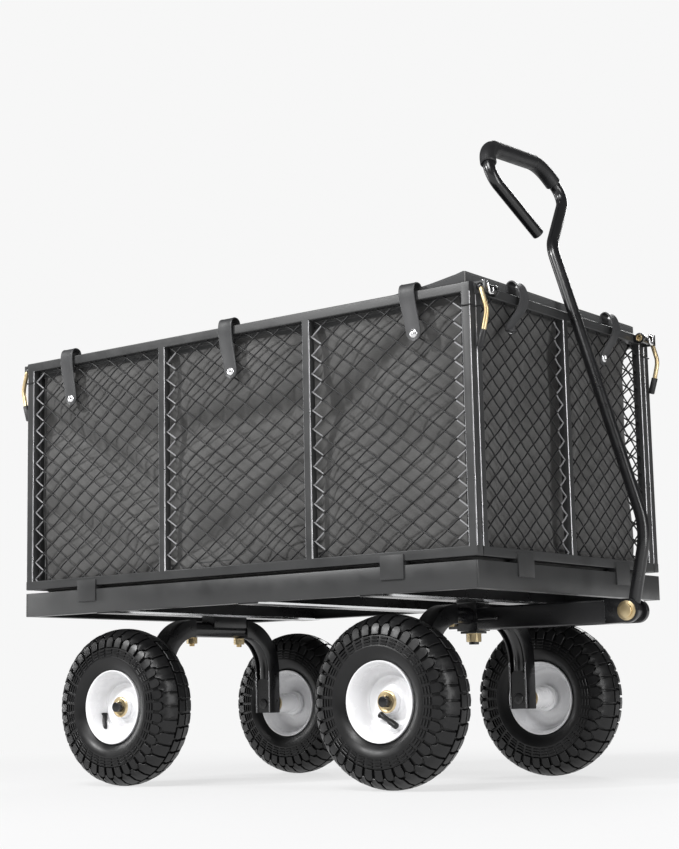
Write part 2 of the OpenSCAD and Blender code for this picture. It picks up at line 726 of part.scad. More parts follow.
module side_mesh(side) color(charcoal) cart() mirror([0, side < 0 ? 1 : 0, 0]) {
    edges = [-half_l + frame_tube, uprights[0] - upright_width / 2, uprights[0] + upright_width / 2,
             uprights[1] - upright_width / 2, uprights[1] + upright_width / 2, half_l - frame_tube];
    for (i = [0, 2, 4])
        translate([(edges[i] + edges[i + 1]) / 2, half_w - frame_tube / 2, bay_z]) rotate([90, 0, 0])
            bay(edges[i + 1] - edges[i] - 0.2, bay_height, side_diamond);
}

module end_mesh(end) color(charcoal) cart() mirror([end < 0 ? 1 : 0, 0, 0]) {
    inner = upright_width / 2;
    outer = end_half - upright_width;
    for (side = [-1, 1])
        translate([half_l - frame_tube / 2, side * (inner + outer) / 2, bay_z]) rotate([90, 0, 90])
            bay(outer - inner - 0.2, bay_height, end_diamond);
}

module side_panel_left() side_panel(1);
module side_panel_right() side_panel(-1);
module end_panel_front() end_panel(1);
module end_panel_rear() end_panel(-1);
module side_mesh_left() side_mesh(1);
module side_mesh_right() side_mesh(-1);
module end_mesh_front() end_mesh(1);
module end_mesh_rear() end_mesh(-1);

// ---------------------------------------------------------------- latches

barrel_y = [half_w - 51, half_w - 21];

// Barrels on the end panels that guide the latch pins, each with a saddle and an end disc
module latch_barrels() color(gloss_black) cart()
    for (end = [0, 1], side = [0, 1]) mirror([end, 0, 0]) mirror([0, side, 0]) {
        x = half_l + latch_reach;
        difference() {
            union() {
                rod_y(barrel_y[0], barrel_y[1], x, latch_z, 7.5);
                rod_y(barrel_y[0], barrel_y[0] + 3, x, latch_z, 9);
                block([half_l, barrel_y[0], latch_z - 6], [x, barrel_y[1], latch_z + 6]);
            }
            rod_y(barrel_y[0] - 1, barrel_y[1] + 1, x, latch_z, latch_rod + running);
        }
    }

// Bent rod through barrel and ear, with a hanging lever and a sleeve on its tip
module latch_pin(end, side) color(brass) cart() mirror([end < 0 ? 1 : 0, 0, 0]) mirror([0, side < 0 ? 1 : 0, 0]) {
    x = half_l + latch_reach;
    tip = [x + 2, lever_y, latch_z - 90];
    sleeve_top = [x + 6, lever_y, latch_z - 64];
    rod_y(barrel_y[0] - 2, lever_y, x, latch_z, latch_rod, 32);
    rod_path([[x, lever_y - 0.01, latch_z], [x, lever_y, latch_z], [x + lever_bulge, lever_y, latch_z - 34],
              sleeve_top, tip], latch_rod - 0.3);
    d = tip - sleeve_top;
    translate(sleeve_top) rotate([0, acos(d.z / norm(d)), atan2(d.y, d.x)]) difference() {
        cylinder(r = 5.2, h = norm(d) + 1, $fn = 32);
        translate([0, 0, -1]) cylinder(r = latch_rod - 0.2, h = norm(d) + 3, $fn = 32);
    }
}

module latch_pin_front_left() latch_pin(1, 1);
module latch_pin_front_right() latch_pin(1, -1);
module latch_pin_rear_left() latch_pin(-1, 1);
module latch_pin_rear_right() latch_pin(-1, -1);

// ---------------------------------------------------------------- liner

liner_x = half_l - frame_tube - liner_gap;
liner_y = half_w - frame_tube - liner_gap;
liner_bottom = rail_top + 0.5;
liner_top = panel_top + liner_rise;

// Open-topped fabric bag
module liner_body() color(liner_grey) cart() difference() {
    block([-liner_x, -liner_y, liner_bottom], [liner_x, liner_y, liner_top]);
    block([-liner_x + liner_wall, -liner_y + liner_wall, liner_bottom + liner_wall],
          [liner_x - liner_wall, liner_y - liner_wall, liner_top + 1]);
}

// Strap over a top rail at the panel's outer face, built along X with the panel towards -Y
module strap(reach) {
    over = 0.6;
    thick = 2;
    translate([-strap_width / 2, -reach + 0.2, over]) cube([strap_width, reach + over + thick - 0.2, thick]);
    translate([-strap_width / 2, over, -strap_drop + strap_width / 2])
        cube([strap_width, thick, strap_drop - strap_width / 2 + over + thick]);
    translate([0, over + thick, -strap_drop + strap_width / 2]) rotate([90, 0, 0])
        cylinder(r = strap_width / 2, h = thick);
}

// Calls its children at every strap place, facing outwards from the top outer rail edge
module strap_places() {
    for (x = [-strap_x, 0, strap_x], side = [0, 1])
        mirror([0, side, 0]) translate([x, half_w, panel_top]) children();
    for (y = [-strap_y, strap_y], end = [0, 1])
        mirror([end, 0, 0]) translate([half_l, y, panel_top]) rotate([0, 0, -90]) children();
}

module liner_straps() color("#2c2c2d") cart() strap_places() strap(frame_tube + liner_gap);

// Domed snap near the lower end of each strap
module strap_snaps() color("#e8e8ea") cart() strap_places()
    translate([0, 2.6, -strap_drop + 13]) rotate([-90, 0, 0]) {
        cylinder(r = 6, h = 1.4);
        translate([0, 0, 1.4]) cylinder(r1 = 5.4, r2 = 3.6, h = 1);
    }

// ---------------------------------------------------------------- output

bed_side_rail_left();
bed_side_rail_right();
bed_end_rail_front();
bed_end_rail_rear();
bed_floor();
cross_member_front();
cross_member_middle();
cross_member_rear();
rear_axle_arch();
rear_leg_left();
rear_leg_right();
rear_stub_axles();
rear_axle_nuts();
rear_mount_bolts();
kingpin();
kingpin_nut();
turntable_plate();
kingpin_housing();
front_axle_arch();
front_leg_left();
front_leg_right();
front_stub_axles();
front_axle_nuts();
drawbar();
drawbar_clevis();
drawbar_bolt();
lock_pin();
pivot_bolt();
handle_tube();
handle_eye();
foam_grip();
handle_end_cap();
tyre_front_left();
rim_front_left();
bearings_front_left();
tyre_front_right();
rim_front_right();
bearings_front_right();
tyre_rear_left();
rim_rear_left();
bearings_rear_left();
tyre_rear_right();
rim_rear_right();
bearings_rear_right();
side_panel_left();
side_panel_right();
end_panel_front();
end_panel_rear();
side_mesh_left();
side_mesh_right();
end_mesh_front();
end_mesh_rear();
latch_barrels();
latch_pin_front_left();
latch_pin_front_right();
latch_pin_rear_left();
latch_pin_rear_right();
liner_body();
liner_straps();
strap_snaps();
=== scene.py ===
import json
import math

import bmesh
import bpy
import numpy as np
from mathutils import Matrix, Vector


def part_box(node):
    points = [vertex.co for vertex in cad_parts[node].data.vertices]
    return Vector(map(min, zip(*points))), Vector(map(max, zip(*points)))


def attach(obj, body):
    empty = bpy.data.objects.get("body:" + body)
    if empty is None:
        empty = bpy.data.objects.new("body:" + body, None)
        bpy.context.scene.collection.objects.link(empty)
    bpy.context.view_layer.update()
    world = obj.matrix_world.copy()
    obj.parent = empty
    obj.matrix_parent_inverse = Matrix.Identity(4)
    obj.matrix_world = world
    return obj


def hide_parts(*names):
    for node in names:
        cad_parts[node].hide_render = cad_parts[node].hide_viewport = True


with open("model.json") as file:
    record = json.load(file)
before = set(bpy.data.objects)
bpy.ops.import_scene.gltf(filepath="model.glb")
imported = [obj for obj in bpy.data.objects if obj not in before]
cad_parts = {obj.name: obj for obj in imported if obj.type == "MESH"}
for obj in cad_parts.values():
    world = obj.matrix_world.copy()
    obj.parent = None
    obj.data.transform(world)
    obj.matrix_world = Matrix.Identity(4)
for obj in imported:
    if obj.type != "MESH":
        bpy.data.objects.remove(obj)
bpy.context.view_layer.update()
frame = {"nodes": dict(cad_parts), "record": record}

# The look of a garden cart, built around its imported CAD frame. Metres, +X to the handle, +Z up.

MM = 0.001


# ---- Places read from the frame

def middle_of(node):
    """Middle of a CAD node's box."""
    low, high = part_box(node)
    return (low + high) / 2


bed_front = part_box("bed_end_rail_front")[1].x
bed_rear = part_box("bed_end_rail_rear")[0].x
BED_X = (bed_front + bed_rear) / 2
HALF_L = (bed_front - bed_rear) / 2
HALF_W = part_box("bed_end_rail_front")[1].y
PANEL_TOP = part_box("side_panel_left")[1].z
FRAME_TUBE = 15 * MM
MESH_LOW, MESH_HIGH = (corner.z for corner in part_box("side_mesh_left"))
LINER_LOW, LINER_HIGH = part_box("liner_body")
# The middle of each wheel, and 1 on the left or -1 on the right
WHEELS = {end + hand: (middle_of("tyre_" + end + hand), side)
          for end in ("front_", "rear_") for hand, side in (("left", 1), ("right", -1))}


# ---- Camera, light, world

def linked(name, data):
    """A new object in the scene."""
    made = bpy.data.objects.new(name, data)
    bpy.context.scene.collection.objects.link(made)
    return made


LENS_MM = 49.17
SENSOR_MM = 24.0
CAMERA_PLACE = (BED_X + 1.79797, -2.36474, 0.13532)
AZIMUTH, PITCH, ROLL = 0.646433, 0.15653, -0.0211173
camera_data = bpy.data.cameras.new("camera")
camera_data.sensor_fit = "VERTICAL"
camera_data.sensor_height = SENSOR_MM
camera_data.lens = LENS_MM
camera = linked("camera", camera_data)
camera.location = CAMERA_PLACE


def aim(azimuth, pitch, roll):
    """Rotation of a camera that looks along +Y at azimuth 0, turned left, tilted up and rolled."""
    flat = math.cos(pitch)
    forward = Vector((-math.sin(azimuth) * flat, math.cos(azimuth) * flat, math.sin(pitch)))
    right = forward.cross(Vector((0, 0, 1))).normalized()
    up = right.cross(forward)
    c, s = math.cos(roll), math.sin(roll)
    right, up = c * right + s * up, -s * right + c * up
    return Matrix((right, up, -forward)).transposed()


camera.rotation_mode = "QUATERNION"
camera.rotation_quaternion = aim(AZIMUTH, PITCH, ROLL).to_quaternion()
bpy.context.scene.camera = camera


def area_light(name, place, target, size, power):
    data = bpy.data.lights.new(name, "AREA")
    data.shape = "RECTANGLE"
    data.size, data.size_y = size
    data.energy = power
    light = linked(name, data)
    light.location = place
    light.rotation_euler = (Vector(target) - Vector(place)).to_track_quat("-Z", "Y").to_euler()


CART = (0, 0, 0.45)
BASKET = (0, 0, 0.6)
area_light("key", (-1.7, -2.9, 2.2), CART, (0.25, 0.25), 84)
area_light("high", (0.7, -2.8, 3.0), CART, (1.5, 1.2), 92)
area_light("back", (-0.9, 3.3, 2.4), CART, (1.6, 1.2), 60)
area_light("strip_left", (-3.6, -0.6, 0.9), BASKET, (0.5, 2.4), 36)
area_light("strip_right", (3.5, -0.9, 0.9), BASKET, (0.8, 2.6), 62)

# White studio cove to the camera, dimmer as a source of light so that the dark paint keeps its depth
BACKGROUND = (0.93, 0.93, 0.93)
AMBIENT = 0.13
world = bpy.data.worlds.new("studio")
bpy.context.scene.world = world
world.use_nodes = True
sky = world.node_tree.nodes["Background"]
sky.inputs["Color"].default_value = (*BACKGROUND, 1)
seen = world.node_tree.nodes.new("ShaderNodeLightPath").outputs["Is Camera Ray"]
level = world.node_tree.nodes.new("ShaderNodeMapRange")
level.inputs["To Min"].default_value = AMBIENT
world.node_tree.links.new(seen, level.inputs["Value"])
world.node_tree.links.new(level.outputs["Result"], sky.inputs["Strength"])
bpy.context.scene.view_settings.view_transform = "Standard"


# ---- Material kit

class Shader:
    """A Principled material with short calls for the nodes it is built from."""

    def __init__(self, name, **values):
        self.material = bpy.data.materials.new(name)
        self.material.use_nodes = True
        self.tree = self.material.node_tree
        self.bsdf = self.tree.nodes["Principled BSDF"]
        for key, value in values.items():
            self.bsdf.inputs[key.replace("_", " ")].default_value = value
        self.place = self.tree.nodes.new("ShaderNodeTexCoord").outputs["Object"]

    def node(self, kind, inputs=None, **settings):
        made = self.tree.nodes.new("ShaderNode" + kind)
        for key, value in settings.items():
            setattr(made, key, value)
        for key, value in (inputs or {}).items():
            if isinstance(value, bpy.types.NodeSocket):
                self.tree.links.new(value, made.inputs[key])
            else:
                made.inputs[key].default_value = value
        return made

    def noise(self, scale, detail=4, roughness=0.5, stretch=None):
        place = self.place
        if stretch:
            place = self.node("Mapping", {"Vector": place, "Scale": stretch}).outputs["Vector"]
        inputs = {"Vector": place, "Scale": scale, "Detail": detail, "Roughness": roughness}
        return self.node("TexNoise", inputs).outputs["Fac"]

    def ramp(self, source, low, high, at=(0.35, 0.65)):
        """Colour or grey ramp between two values."""
        made = self.node("ValToRGB", {"Fac": source})
        for element, place, value in zip(made.color_ramp.elements, at, (low, high)):
            element.position = place
            element.color = (*value, 1) if hasattr(value, "__len__") else (value, value, value, 1)
        return made.outputs["Color"]

    def maths(self, operation, a, b=0.0):
        return self.node("Math", {0: a, 1: b}, operation=operation).outputs[0]

    def feed(self, socket, source):
        self.tree.links.new(source, self.bsdf.inputs[socket])
        return self

    def bump(self, height, strength, distance):
        made = self.node("Bump", {"Height": height, "Strength": strength, "Distance": distance})
        return self.feed("Normal", made.outputs["Normal"])


def paint(name, low, high, roughness, peel, coat=0.0):
    """Sprayed paint: slight tone drift, uneven gloss and orange peel."""
    s = Shader(name, Coat_Weight=coat, Coat_Roughness=0.12, Specular_IOR_Level=0.5)
    s.feed("Base Color", s.ramp(s.noise(9, 5), low, high))
    s.feed("Roughness", s.ramp(s.noise(26, 6, 0.65), roughness - 0.05, roughness + 0.07))
    return s.bump(s.noise(650, 2), peel, 0.0004).material


def metal(name, low, high, roughness, scratches):
    """Plated steel: cloudy tone and fine drawn scratches."""
    s = Shader(name, Metallic=1.0)
    s.feed("Base Color", s.ramp(s.noise(40, 4), low, high))
    s.feed("Roughness", s.ramp(s.noise(60, 3, 0.5), roughness - 0.03, roughness + 0.04))
    return s.bump(s.noise(700, 3, 0.6, (1, 1, 14)), scratches, 0.0002).material


def rubber(name, low, high, roughness, grain, strength):
    """Rubber, foam and webbing: faint blotches and a fine grain."""
    s = Shader(name, Specular_IOR_Level=0.4)
    s.feed("Base Color", s.ramp(s.noise(14, 6, 0.6), low, high))
    s.feed("Roughness", s.ramp(s.noise(34, 5, 0.6), roughness - 0.06, roughness + 0.08))
    return s.bump(s.noise(grain, 3, 0.6), strength, 0.0003).material


THREAD_PITCH = 1.6 * MM


def woven_cloth(name, low, high):
    """Coated woven polyester: crossed threads, slubs, and broad soft dark patches of painted shade that stand
    in for the shade of the liner's folds.
    """
    s = Shader(name, Roughness=0.72, Specular_IOR_Level=0.3, Sheen_Weight=0.15, Sheen_Roughness=0.5)
    threads = []
    for direction in ((1, 0, 0), (0, 1, 0), (0, 0, 1)):
        across = s.node("VectorMath", {0: s.place, 1: direction}, operation="DOT_PRODUCT").outputs["Value"]
        wave = s.maths("SINE", s.maths("MULTIPLY", across, 2 * math.pi / THREAD_PITCH))
        threads.append(s.maths("MULTIPLY", wave, 0.5))
    weave = s.maths("ADD", s.maths("MULTIPLY", s.maths("ADD", threads[0], threads[1]), threads[2]), 0.5)
    slub = s.noise(240, 3, 0.6, (1, 1, 6))
    # Broad dark patches: painted shade standing in for the shade of the liner's folds
    painted_shade_patches = s.noise(7, 5, 0.6)
    tone = s.maths("ADD", s.maths("MULTIPLY", painted_shade_patches, 0.6), s.maths("MULTIPLY", slub, 0.4))
    s.feed("Base Color", s.ramp(tone, low, high, (0.3, 0.7)))
    s.bump(s.maths("ADD", weave, s.maths("MULTIPLY", slub, 0.8)), 0.35, 0.0004)
    return s.material


SLOTS = {
    "powder_coat": paint("powder_coat", (0.026, 0.0265, 0.027), (0.036, 0.0365, 0.037), 0.36, 0.18),
    "gloss_black": paint("gloss_black", (0.003, 0.003, 0.0035), (0.006, 0.006, 0.007), 0.3, 0.0, coat=0.3),
    "rim_white": paint("rim_white", (0.80, 0.80, 0.815), (0.86, 0.86, 0.87), 0.25, 0.08, coat=0.5),
    "zinc": metal("zinc", (0.88, 0.89, 0.90), (0.95, 0.96, 0.97), 0.2, 0.01),
    "brass": metal("brass", (0.60, 0.46, 0.25), (0.74, 0.61, 0.38), 0.38, 0.02),
    "snap": metal("snap", (0.78, 0.78, 0.79), (0.92, 0.92, 0.93), 0.22, 0.02),
    "tyre": rubber("tyre", (0.003, 0.003, 0.0033), (0.007, 0.007, 0.0074), 0.38, 900, 0.12),
    "foam": rubber("foam", (0.008, 0.008, 0.009), (0.014, 0.014, 0.015), 0.42, 420, 0.2),
    "strap": rubber("strap", (0.034, 0.035, 0.036), (0.048, 0.048, 0.050), 0.45, 520, 0.2),
    "liner": woven_cloth("liner", (0.060, 0.059, 0.058), (0.122, 0.121, 0.119))}
# Lighter metal for the rounded outer edges of panels and legs: a painted highlight that stands in for the
# line of light along them
EDGE_HIGHLIGHT = metal("painted_highlight_edge", (0.34, 0.34, 0.35), (0.46, 0.46, 0.47), 0.3, 0.0)
RIM_TAPE = woven_cloth("liner_rim", (0.045, 0.046, 0.047), (0.062, 0.063, 0.064))
THREAD = woven_cloth("thread", (0.10, 0.10, 0.10), (0.15, 0.15, 0.148))
WIRE = paint("mesh_wire", (0.0025, 0.0025, 0.003), (0.005, 0.005, 0.006), 0.45, 0.0)
# Lighter grey for the wire ends beside the tubes: a painted highlight that stands in for their glint against
# the dark gap there
WIRE_HIGHLIGHT = paint("mesh_wire_painted_highlight", (0.20, 0.20, 0.205), (0.28, 0.28, 0.29), 0.34, 0.0)
NODE_SLOT = {p["node"]: p["material_slot"] for p in frame["record"]["subparts"]}
NODE_BODY = {n: body for body, nodes in frame["record"]["behaviour"]["bodies"].items() for n in nodes}
for node, shown in frame["nodes"].items():
    shown.data.materials.clear()
    shown.data.materials.append(SLOTS[NODE_SLOT[node]])


# ---- Mesh kit, where a shape is a list of vertices and a list of faces

def placed(name, mesh, body, replaces, slot):
    """Puts a mesh in the scene under the body that carries it, and hides the CAD parts it stands for.
    slot, its finish, is not used.
    """
    made = linked(name, mesh)
    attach(made, body)
    if replaces:
        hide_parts(*replaces)
    return made


def piece(name, shape, slot, body="cart", sharp=35, replaces=(), material=None):
    """One object from a shape, smooth up to a crease angle, in its slot's material or the one given."""
    verts, faces = shape
    mesh = bpy.data.meshes.new(name)
    mesh.from_pydata([tuple(v) for v in verts], [], [tuple(f) for f in faces])
    mesh.materials.append(material or SLOTS[slot])
    mesh.shade_smooth()
    mesh.set_sharp_from_angle(angle=math.radians(sharp))
    return placed(name, mesh, body, replaces, slot)


def joined(shapes):
    """One shape from several."""
    verts, faces = [], []
    for more_verts, more_faces in shapes:
        start = len(verts)
        verts.extend(tuple(v) for v in more_verts)
        faces.extend(tuple(i + start for i in f) for f in more_faces)
    return verts, faces


def quads(rings, count, looped=False, open_rings=False):
    """Faces between neighbouring rings of count points; looped joins the last ring to the first."""
    faces = []
    for i in range(rings if looped else rings - 1):
        j = (i + 1) % rings
        for k in range(count - 1 if open_rings else count):
            m = (k + 1) % count
            faces.append((i * count + k, i * count + m, j * count + m, j * count + k))
    return faces


def flipped(faces):
    return [f[::-1] for f in faces]


def closed_run(rings, count, flip=False):
    """Faces of a run of rings and its two ends; flip is for rings that turn the other way."""
    first, last = tuple(range(count)), tuple(range((rings - 1) * count, rings * count))
    if flip:
        return [(a, d, c, b) for a, b, c, d in quads(rings, count)] + [first, last[::-1]]
    return quads(rings, count) + [first[::-1], last]


def run_along(points):
    """Distance along a polyline to each of its points."""
    return np.concatenate(([0], np.cumsum(np.linalg.norm(np.diff(points, axis=0), axis=1))))


def directions(points):
    """A path's points, and two unit normals along it that are carried on without twist."""
    p = np.asarray(points, float)
    t = np.gradient(p, axis=0)
    t /= np.linalg.norm(t, axis=1)[:, None]
    n = np.zeros_like(t)
    start = np.cross(t[0], (0, 0, 1) if abs(t[0][2]) < 0.9 else (1, 0, 0))
    n[0] = start / np.linalg.norm(start)
    for i in range(1, len(p)):
        across = n[i - 1] - t[i] * np.dot(n[i - 1], t[i])
        n[i] = across / np.linalg.norm(across)
    return p, n, np.cross(t, n)


def tube(points, radius, sides=16):
    """Round tube along a path. radius is one number or one per point."""
    p, n, b = directions(points)
    r = np.broadcast_to(np.asarray(radius, float), (len(p),))[:, None, None]
    a = 2 * math.pi * np.arange(sides)[None, :, None] / sides
    rings = p[:, None] + r * (np.cos(a) * n[:, None] + np.sin(a) * b[:, None])
    return rings.reshape(-1, 3), closed_run(len(p), sides)


def ribbon(path, across, out, width, thickness, section):
    """Strip along a path. section is in shares of its width, along across, and thickness, along out."""
    verts = np.concatenate([path + across * w * width + out * t * thickness for w, t in section])
    m, n = len(section), len(path)
    ends = [tuple(a * n for a in range(m)), tuple(a * n + n - 1 for a in range(m - 1, -1, -1))]
    return verts, quads(m, n, looped=True, open_rings=True) + ends


def rounded_path(corners, radii, step=math.radians(6)):
    """Points along a polyline in space whose corners are rounded to the given radii."""
    p = [Vector(c) for c in corners]
    out = [p[0]]
    for before, corner, after, radius in zip(p, p[1:], p[2:], radii):
        back, on = (before - corner).normalized(), (after - corner).normalized()
        half = back.angle(on) / 2
        centre = corner + (back + on).normalized() * radius / math.sin(half)
        start = corner + back * radius / math.tan(half)
        end = corner + on * radius / math.tan(half)
        turn = math.pi - 2 * half
        steps = max(2, math.ceil(turn / step))
        u = start - centre
        w = (end - centre) - u * math.cos(turn)
        w = w.normalized() * radius
        out += [centre + u * math.cos(turn * i / steps) + w * math.sin(turn * i / steps)
                for i in range(steps + 1)]
    return [tuple(v) for v in out + [p[-1]]]


def smooth_path(points, per_span=6):
    """Catmull-Rom curve through points."""
    p = np.asarray(points, float)
    p = np.vstack((2 * p[0] - p[1], p, 2 * p[-1] - p[-2]))
    out = []
    for a, b, c, d in zip(p, p[1:], p[2:], p[3:]):
        for t in np.arange(per_span) / per_span:
            out.append(0.5 * (2 * b + (c - a) * t + (2 * a - 5 * b + 4 * c - d) * t * t
                              + (3 * b - a - 3 * c + d) * t ** 3))
    return np.array(out + [p[-2]])


def turned(profile, steps):
    """Solid of revolution about Y from (radius, y) pairs, with poles where the radius is 0."""
    radius, y = np.asarray(profile, float).T
    a = 2 * math.pi * np.arange(steps)[:, None] / steps
    verts = np.stack((radius * np.cos(a), y + 0 * a, radius * np.sin(a)), 2)
    return verts.reshape(-1, 3), quads(steps, len(radius), looped=True)


def about(verts, place, axis):
    """Moves vertices built about +Y so that +Y points along axis at place."""
    turn = Vector((0, 1, 0)).rotation_difference(Vector(axis)).to_matrix()
    return np.array([turn @ Vector(v) for v in np.asarray(verts, float)]) + np.array(place)


def at_wheel(shape, place):
    """Puts a wheel's shape, built about Y with the outer side at +Y, on its axle."""
    centre, side = WHEELS[place]
    return np.asarray(shape[0], float) * (side, side, 1) + np.array(centre), shape[1]


def drop_cavities(bm):
    """Deletes closed shells that face inwards, such as the sealed bore of a frame's tubes."""
    seen, hollow = set(), []
    for first in bm.faces:
        if first in seen:
            continue
        seen.add(first)
        shell = [first]
        for face in shell:
            near = {other for edge in face.edges for other in edge.link_faces} - seen
            seen |= near
            shell += near
        if sum(f.calc_center_median().dot(f.normal) * f.calc_area() for f in shell) < 0:
            hollow += shell
    bmesh.ops.delete(bm, geom=hollow, context="FACES")


FLAT_ANGLE = math.radians(0.6)
EDGE_ANGLE = math.radians(40)
WELD = 2e-6
BEVEL_SLANT = 0.15


def softened(node, radius, segments=2, bright=None, slot=None):
    """Stands for a sharp-edged CAD node: the same shape with its edges rounded. bright says, from a face's
    middle and height, whether it may be a rounded edge that gets a painted highlight: a lighter metal that
    stands in for the line of light along it."""
    bm = bmesh.new()
    bm.from_mesh(frame["nodes"][node].data)
    bmesh.ops.remove_doubles(bm, verts=bm.verts, dist=WELD)
    drop_cavities(bm)
    bmesh.ops.dissolve_limit(bm, angle_limit=FLAT_ANGLE, verts=bm.verts, edges=bm.edges)
    edges = [e for e in bm.edges if len(e.link_faces) == 2 and e.calc_face_angle() > EDGE_ANGLE]
    bmesh.ops.bevel(bm, geom=edges, offset=radius, segments=segments, affect="EDGES", profile=0.5,
                    clamp_overlap=True)
    mesh = bpy.data.meshes.new(node + "_body")
    bm.to_mesh(mesh)
    bm.free()
    slot = slot or NODE_SLOT[node]
    mesh.materials.append(SLOTS[slot])
    # Faces picked by bright get the painted highlight material
    if bright:
        mesh.materials.append(EDGE_HIGHLIGHT)
        for face in mesh.polygons:
            corners = [mesh.vertices[v].co for v in face.vertices]
            tall = max(c.z for c in corners) - min(c.z for c in corners)
            slanted = min(abs(face.normal.x), abs(face.normal.y)) > BEVEL_SLANT
            if slanted and bright(sum(corners, Vector()) / len(corners), tall):
                face.material_index = 1
    mesh.shade_smooth()
    mesh.set_sharp_from_angle(angle=math.radians(50 if bright else 32))
    placed(node + "_body", mesh, NODE_BODY[node], [node], slot)


# ---- Floor, which fades into the background with the distance from the cart

FLOOR_HALF = 40
FADE_FROM, FADE_TO = 0.8, 2.4
floor_data = bpy.data.meshes.new("floor")
floor_data.from_pydata([(x * FLOOR_HALF, y * FLOOR_HALF, 0) for x, y in ((-1, -1), (1, -1), (1, 1), (-1, 1))],
                       [], [(0, 1, 2, 3)])
floor = linked("floor", floor_data)
floor_shader = Shader("floor", Roughness=0.7, Specular_IOR_Level=0.2)
floor_shader.bsdf.inputs["Base Color"].default_value = (0.86, 0.86, 0.87, 1)
far = floor_shader.node("VectorMath", {0: floor_shader.place}, operation="LENGTH").outputs["Value"]
fade = floor_shader.node("MapRange", {"Value": far, "From Min": FADE_FROM, "From Max": FADE_TO,
                                      "To Min": 0.74}, interpolation_type="SMOOTHSTEP")
glow = floor_shader.node("Emission", {"Color": (*BACKGROUND, 1), "Strength": 1.0})
blend = floor_shader.node("MixShader", {"Fac": fade.outputs["Result"]})
floor_shader.tree.links.new(floor_shader.bsdf.outputs["BSDF"], blend.inputs[1])
floor_shader.tree.links.new(glow.outputs["Emission"], blend.inputs[2])
surface = floor_shader.tree.nodes["Material Output"].inputs["Surface"]
floor_shader.tree.links.new(blend.outputs["Shader"], surface)
floor_data.materials.append(floor_shader.material)


# ---- Tyres

PITCHES = 36
TREAD_DEPTH = 4.6 * MM
TREAD_END, BAR_END = 57 * MM, 74 * MM

# Half of the tyre's outside, radius against distance from its middle plane
half_skin = np.array([(130, 0), (129.6, 7), (128.4, 13), (125, 24.5), (118.5, 32.2), (109, 37.2), (97, 39.6),
                      (84, 39.9), (73, 37.4), (64.5, 32), (60.8, 27.5)]) * MM
section = smooth_path(half_skin, 12)
reach = run_along(section)
SKIN_STEP = 0.5 * MM


def section_at(s):
    """Radius and distance from the middle plane of the tyre's section, at an arc length from the crown."""
    return np.array([np.interp(s, reach, section[:, k]) for k in (0, 1)])


def skin_at(v):
    """Point and outward normal of the tyre's section at an arc length v from the crown, either side."""
    s = np.abs(v)
    r, w = section_at(s)
    dr, dw = section_at(s + SKIN_STEP) - section_at(s - SKIN_STEP)
    size = np.hypot(dr, dw) + 1e-12
    flat = s < SKIN_STEP
    return r, w * np.sign(v), np.where(flat, 1, dw / size), np.where(flat, 0, -dr / size * np.sign(v))


def floor_drop(v):
    """How far the tread's floor lies below the blocks' tops."""
    s = np.abs(v)
    ease = np.clip((BAR_END - s) / (BAR_END - TREAD_END), 0, 1)
    return TREAD_DEPTH * np.where(s < TREAD_END, 1, 0.6 * ease ** 0.5)


def on_tyre(angle, v, lift):
    r, w, nr, nw = skin_at(v)
    r, w = r + lift * nr, w + lift * nw
    return np.stack((r * np.cos(angle), w, r * np.sin(angle)), -1)


PITCH_ANGLE = 2 * math.pi / PITCHES
TREAD_R = 110 * MM
BLOCK_INSET, BLOCK_RIM, BLOCK_ROOT = 0.55 * MM, 0.5 * MM, 0.6 * MM


def block(outline, centre_angle, mirror):
    """One tread block from its outline of (pitch share, arc length) points: walls, rounded rim and top."""
    points = np.asarray(outline, float)
    if mirror:
        points = points[::-1] * (1, -1)
    middle = points.mean(0)
    span = np.abs(points - middle).max(0) * (PITCH_ANGLE * TREAD_R, 1)
    top = middle + (points - middle) * (1 - BLOCK_INSET / np.maximum(span, BLOCK_INSET * 1.5))
    rings = ((points, -floor_drop(middle[1]) - BLOCK_ROOT), (points, -BLOCK_RIM), (top, 0.0),
             (middle[None], 0.0))
    verts = [on_tyre(centre_angle + (ring[:, 0] - 0.5) * PITCH_ANGLE, ring[:, 1], lift)
             for ring, lift in rings]
    n = len(points)
    faces = quads(3, n) + [(2 * n + k, 2 * n + (k + 1) % n, 3 * n) for k in range(n)]
    return np.vstack(verts), faces + [tuple(range(n - 1, -1, -1))]


def box_outline(p0, p1, v0, v1, splits=3):
    along = np.linspace(p0, p1, splits)
    return [(p, v0) for p in along] + [(p, v1) for p in along[::-1]]


bars = [box_outline(0.15, 0.85, (v - 1.3) * MM, (v + 1.3) * MM, 4) for v in (60.4, 65.4, 70.4)]
arc = np.linspace(0, math.pi, 9)
horseshoe = ([(0.14, 56 * MM), (0.5, 56 * MM), (0.86, 56 * MM), (0.86, 50 * MM)]
             + [(0.5 + 0.36 * math.cos(a), (45 - 6.5 * math.sin(a)) * MM) for a in arc]
             + [(0.14, 50 * MM)])
shoulder = [(0.58, 10 * MM), (1.0, 10 * MM), (1.42, 10 * MM), (1.42, 22 * MM), (1.42, 34.5 * MM),
            (1.25, 36.5 * MM), (1.09, 43 * MM), (0.91, 43 * MM), (0.75, 36.5 * MM), (0.58, 34.5 * MM),
            (0.58, 22 * MM)]
crown = [(0.09, -6.6 * MM), (0.5, -6.6 * MM), (0.91, -6.6 * MM), (0.98, 0), (0.91, 6.6 * MM), (0.5, 6.6 * MM),
         (0.09, 6.6 * MM), (0.16, 0)]

blocks = []
for i in range(PITCHES):
    angle = 2 * math.pi * i / PITCHES
    shifted = angle + math.pi / PITCHES
    for outline in bars + [horseshoe, shoulder]:
        blocks.append(block(outline, angle, False))
        blocks.append(block(outline, shifted, True))
    blocks.append(block(crown, angle, False))
tread = joined(blocks)

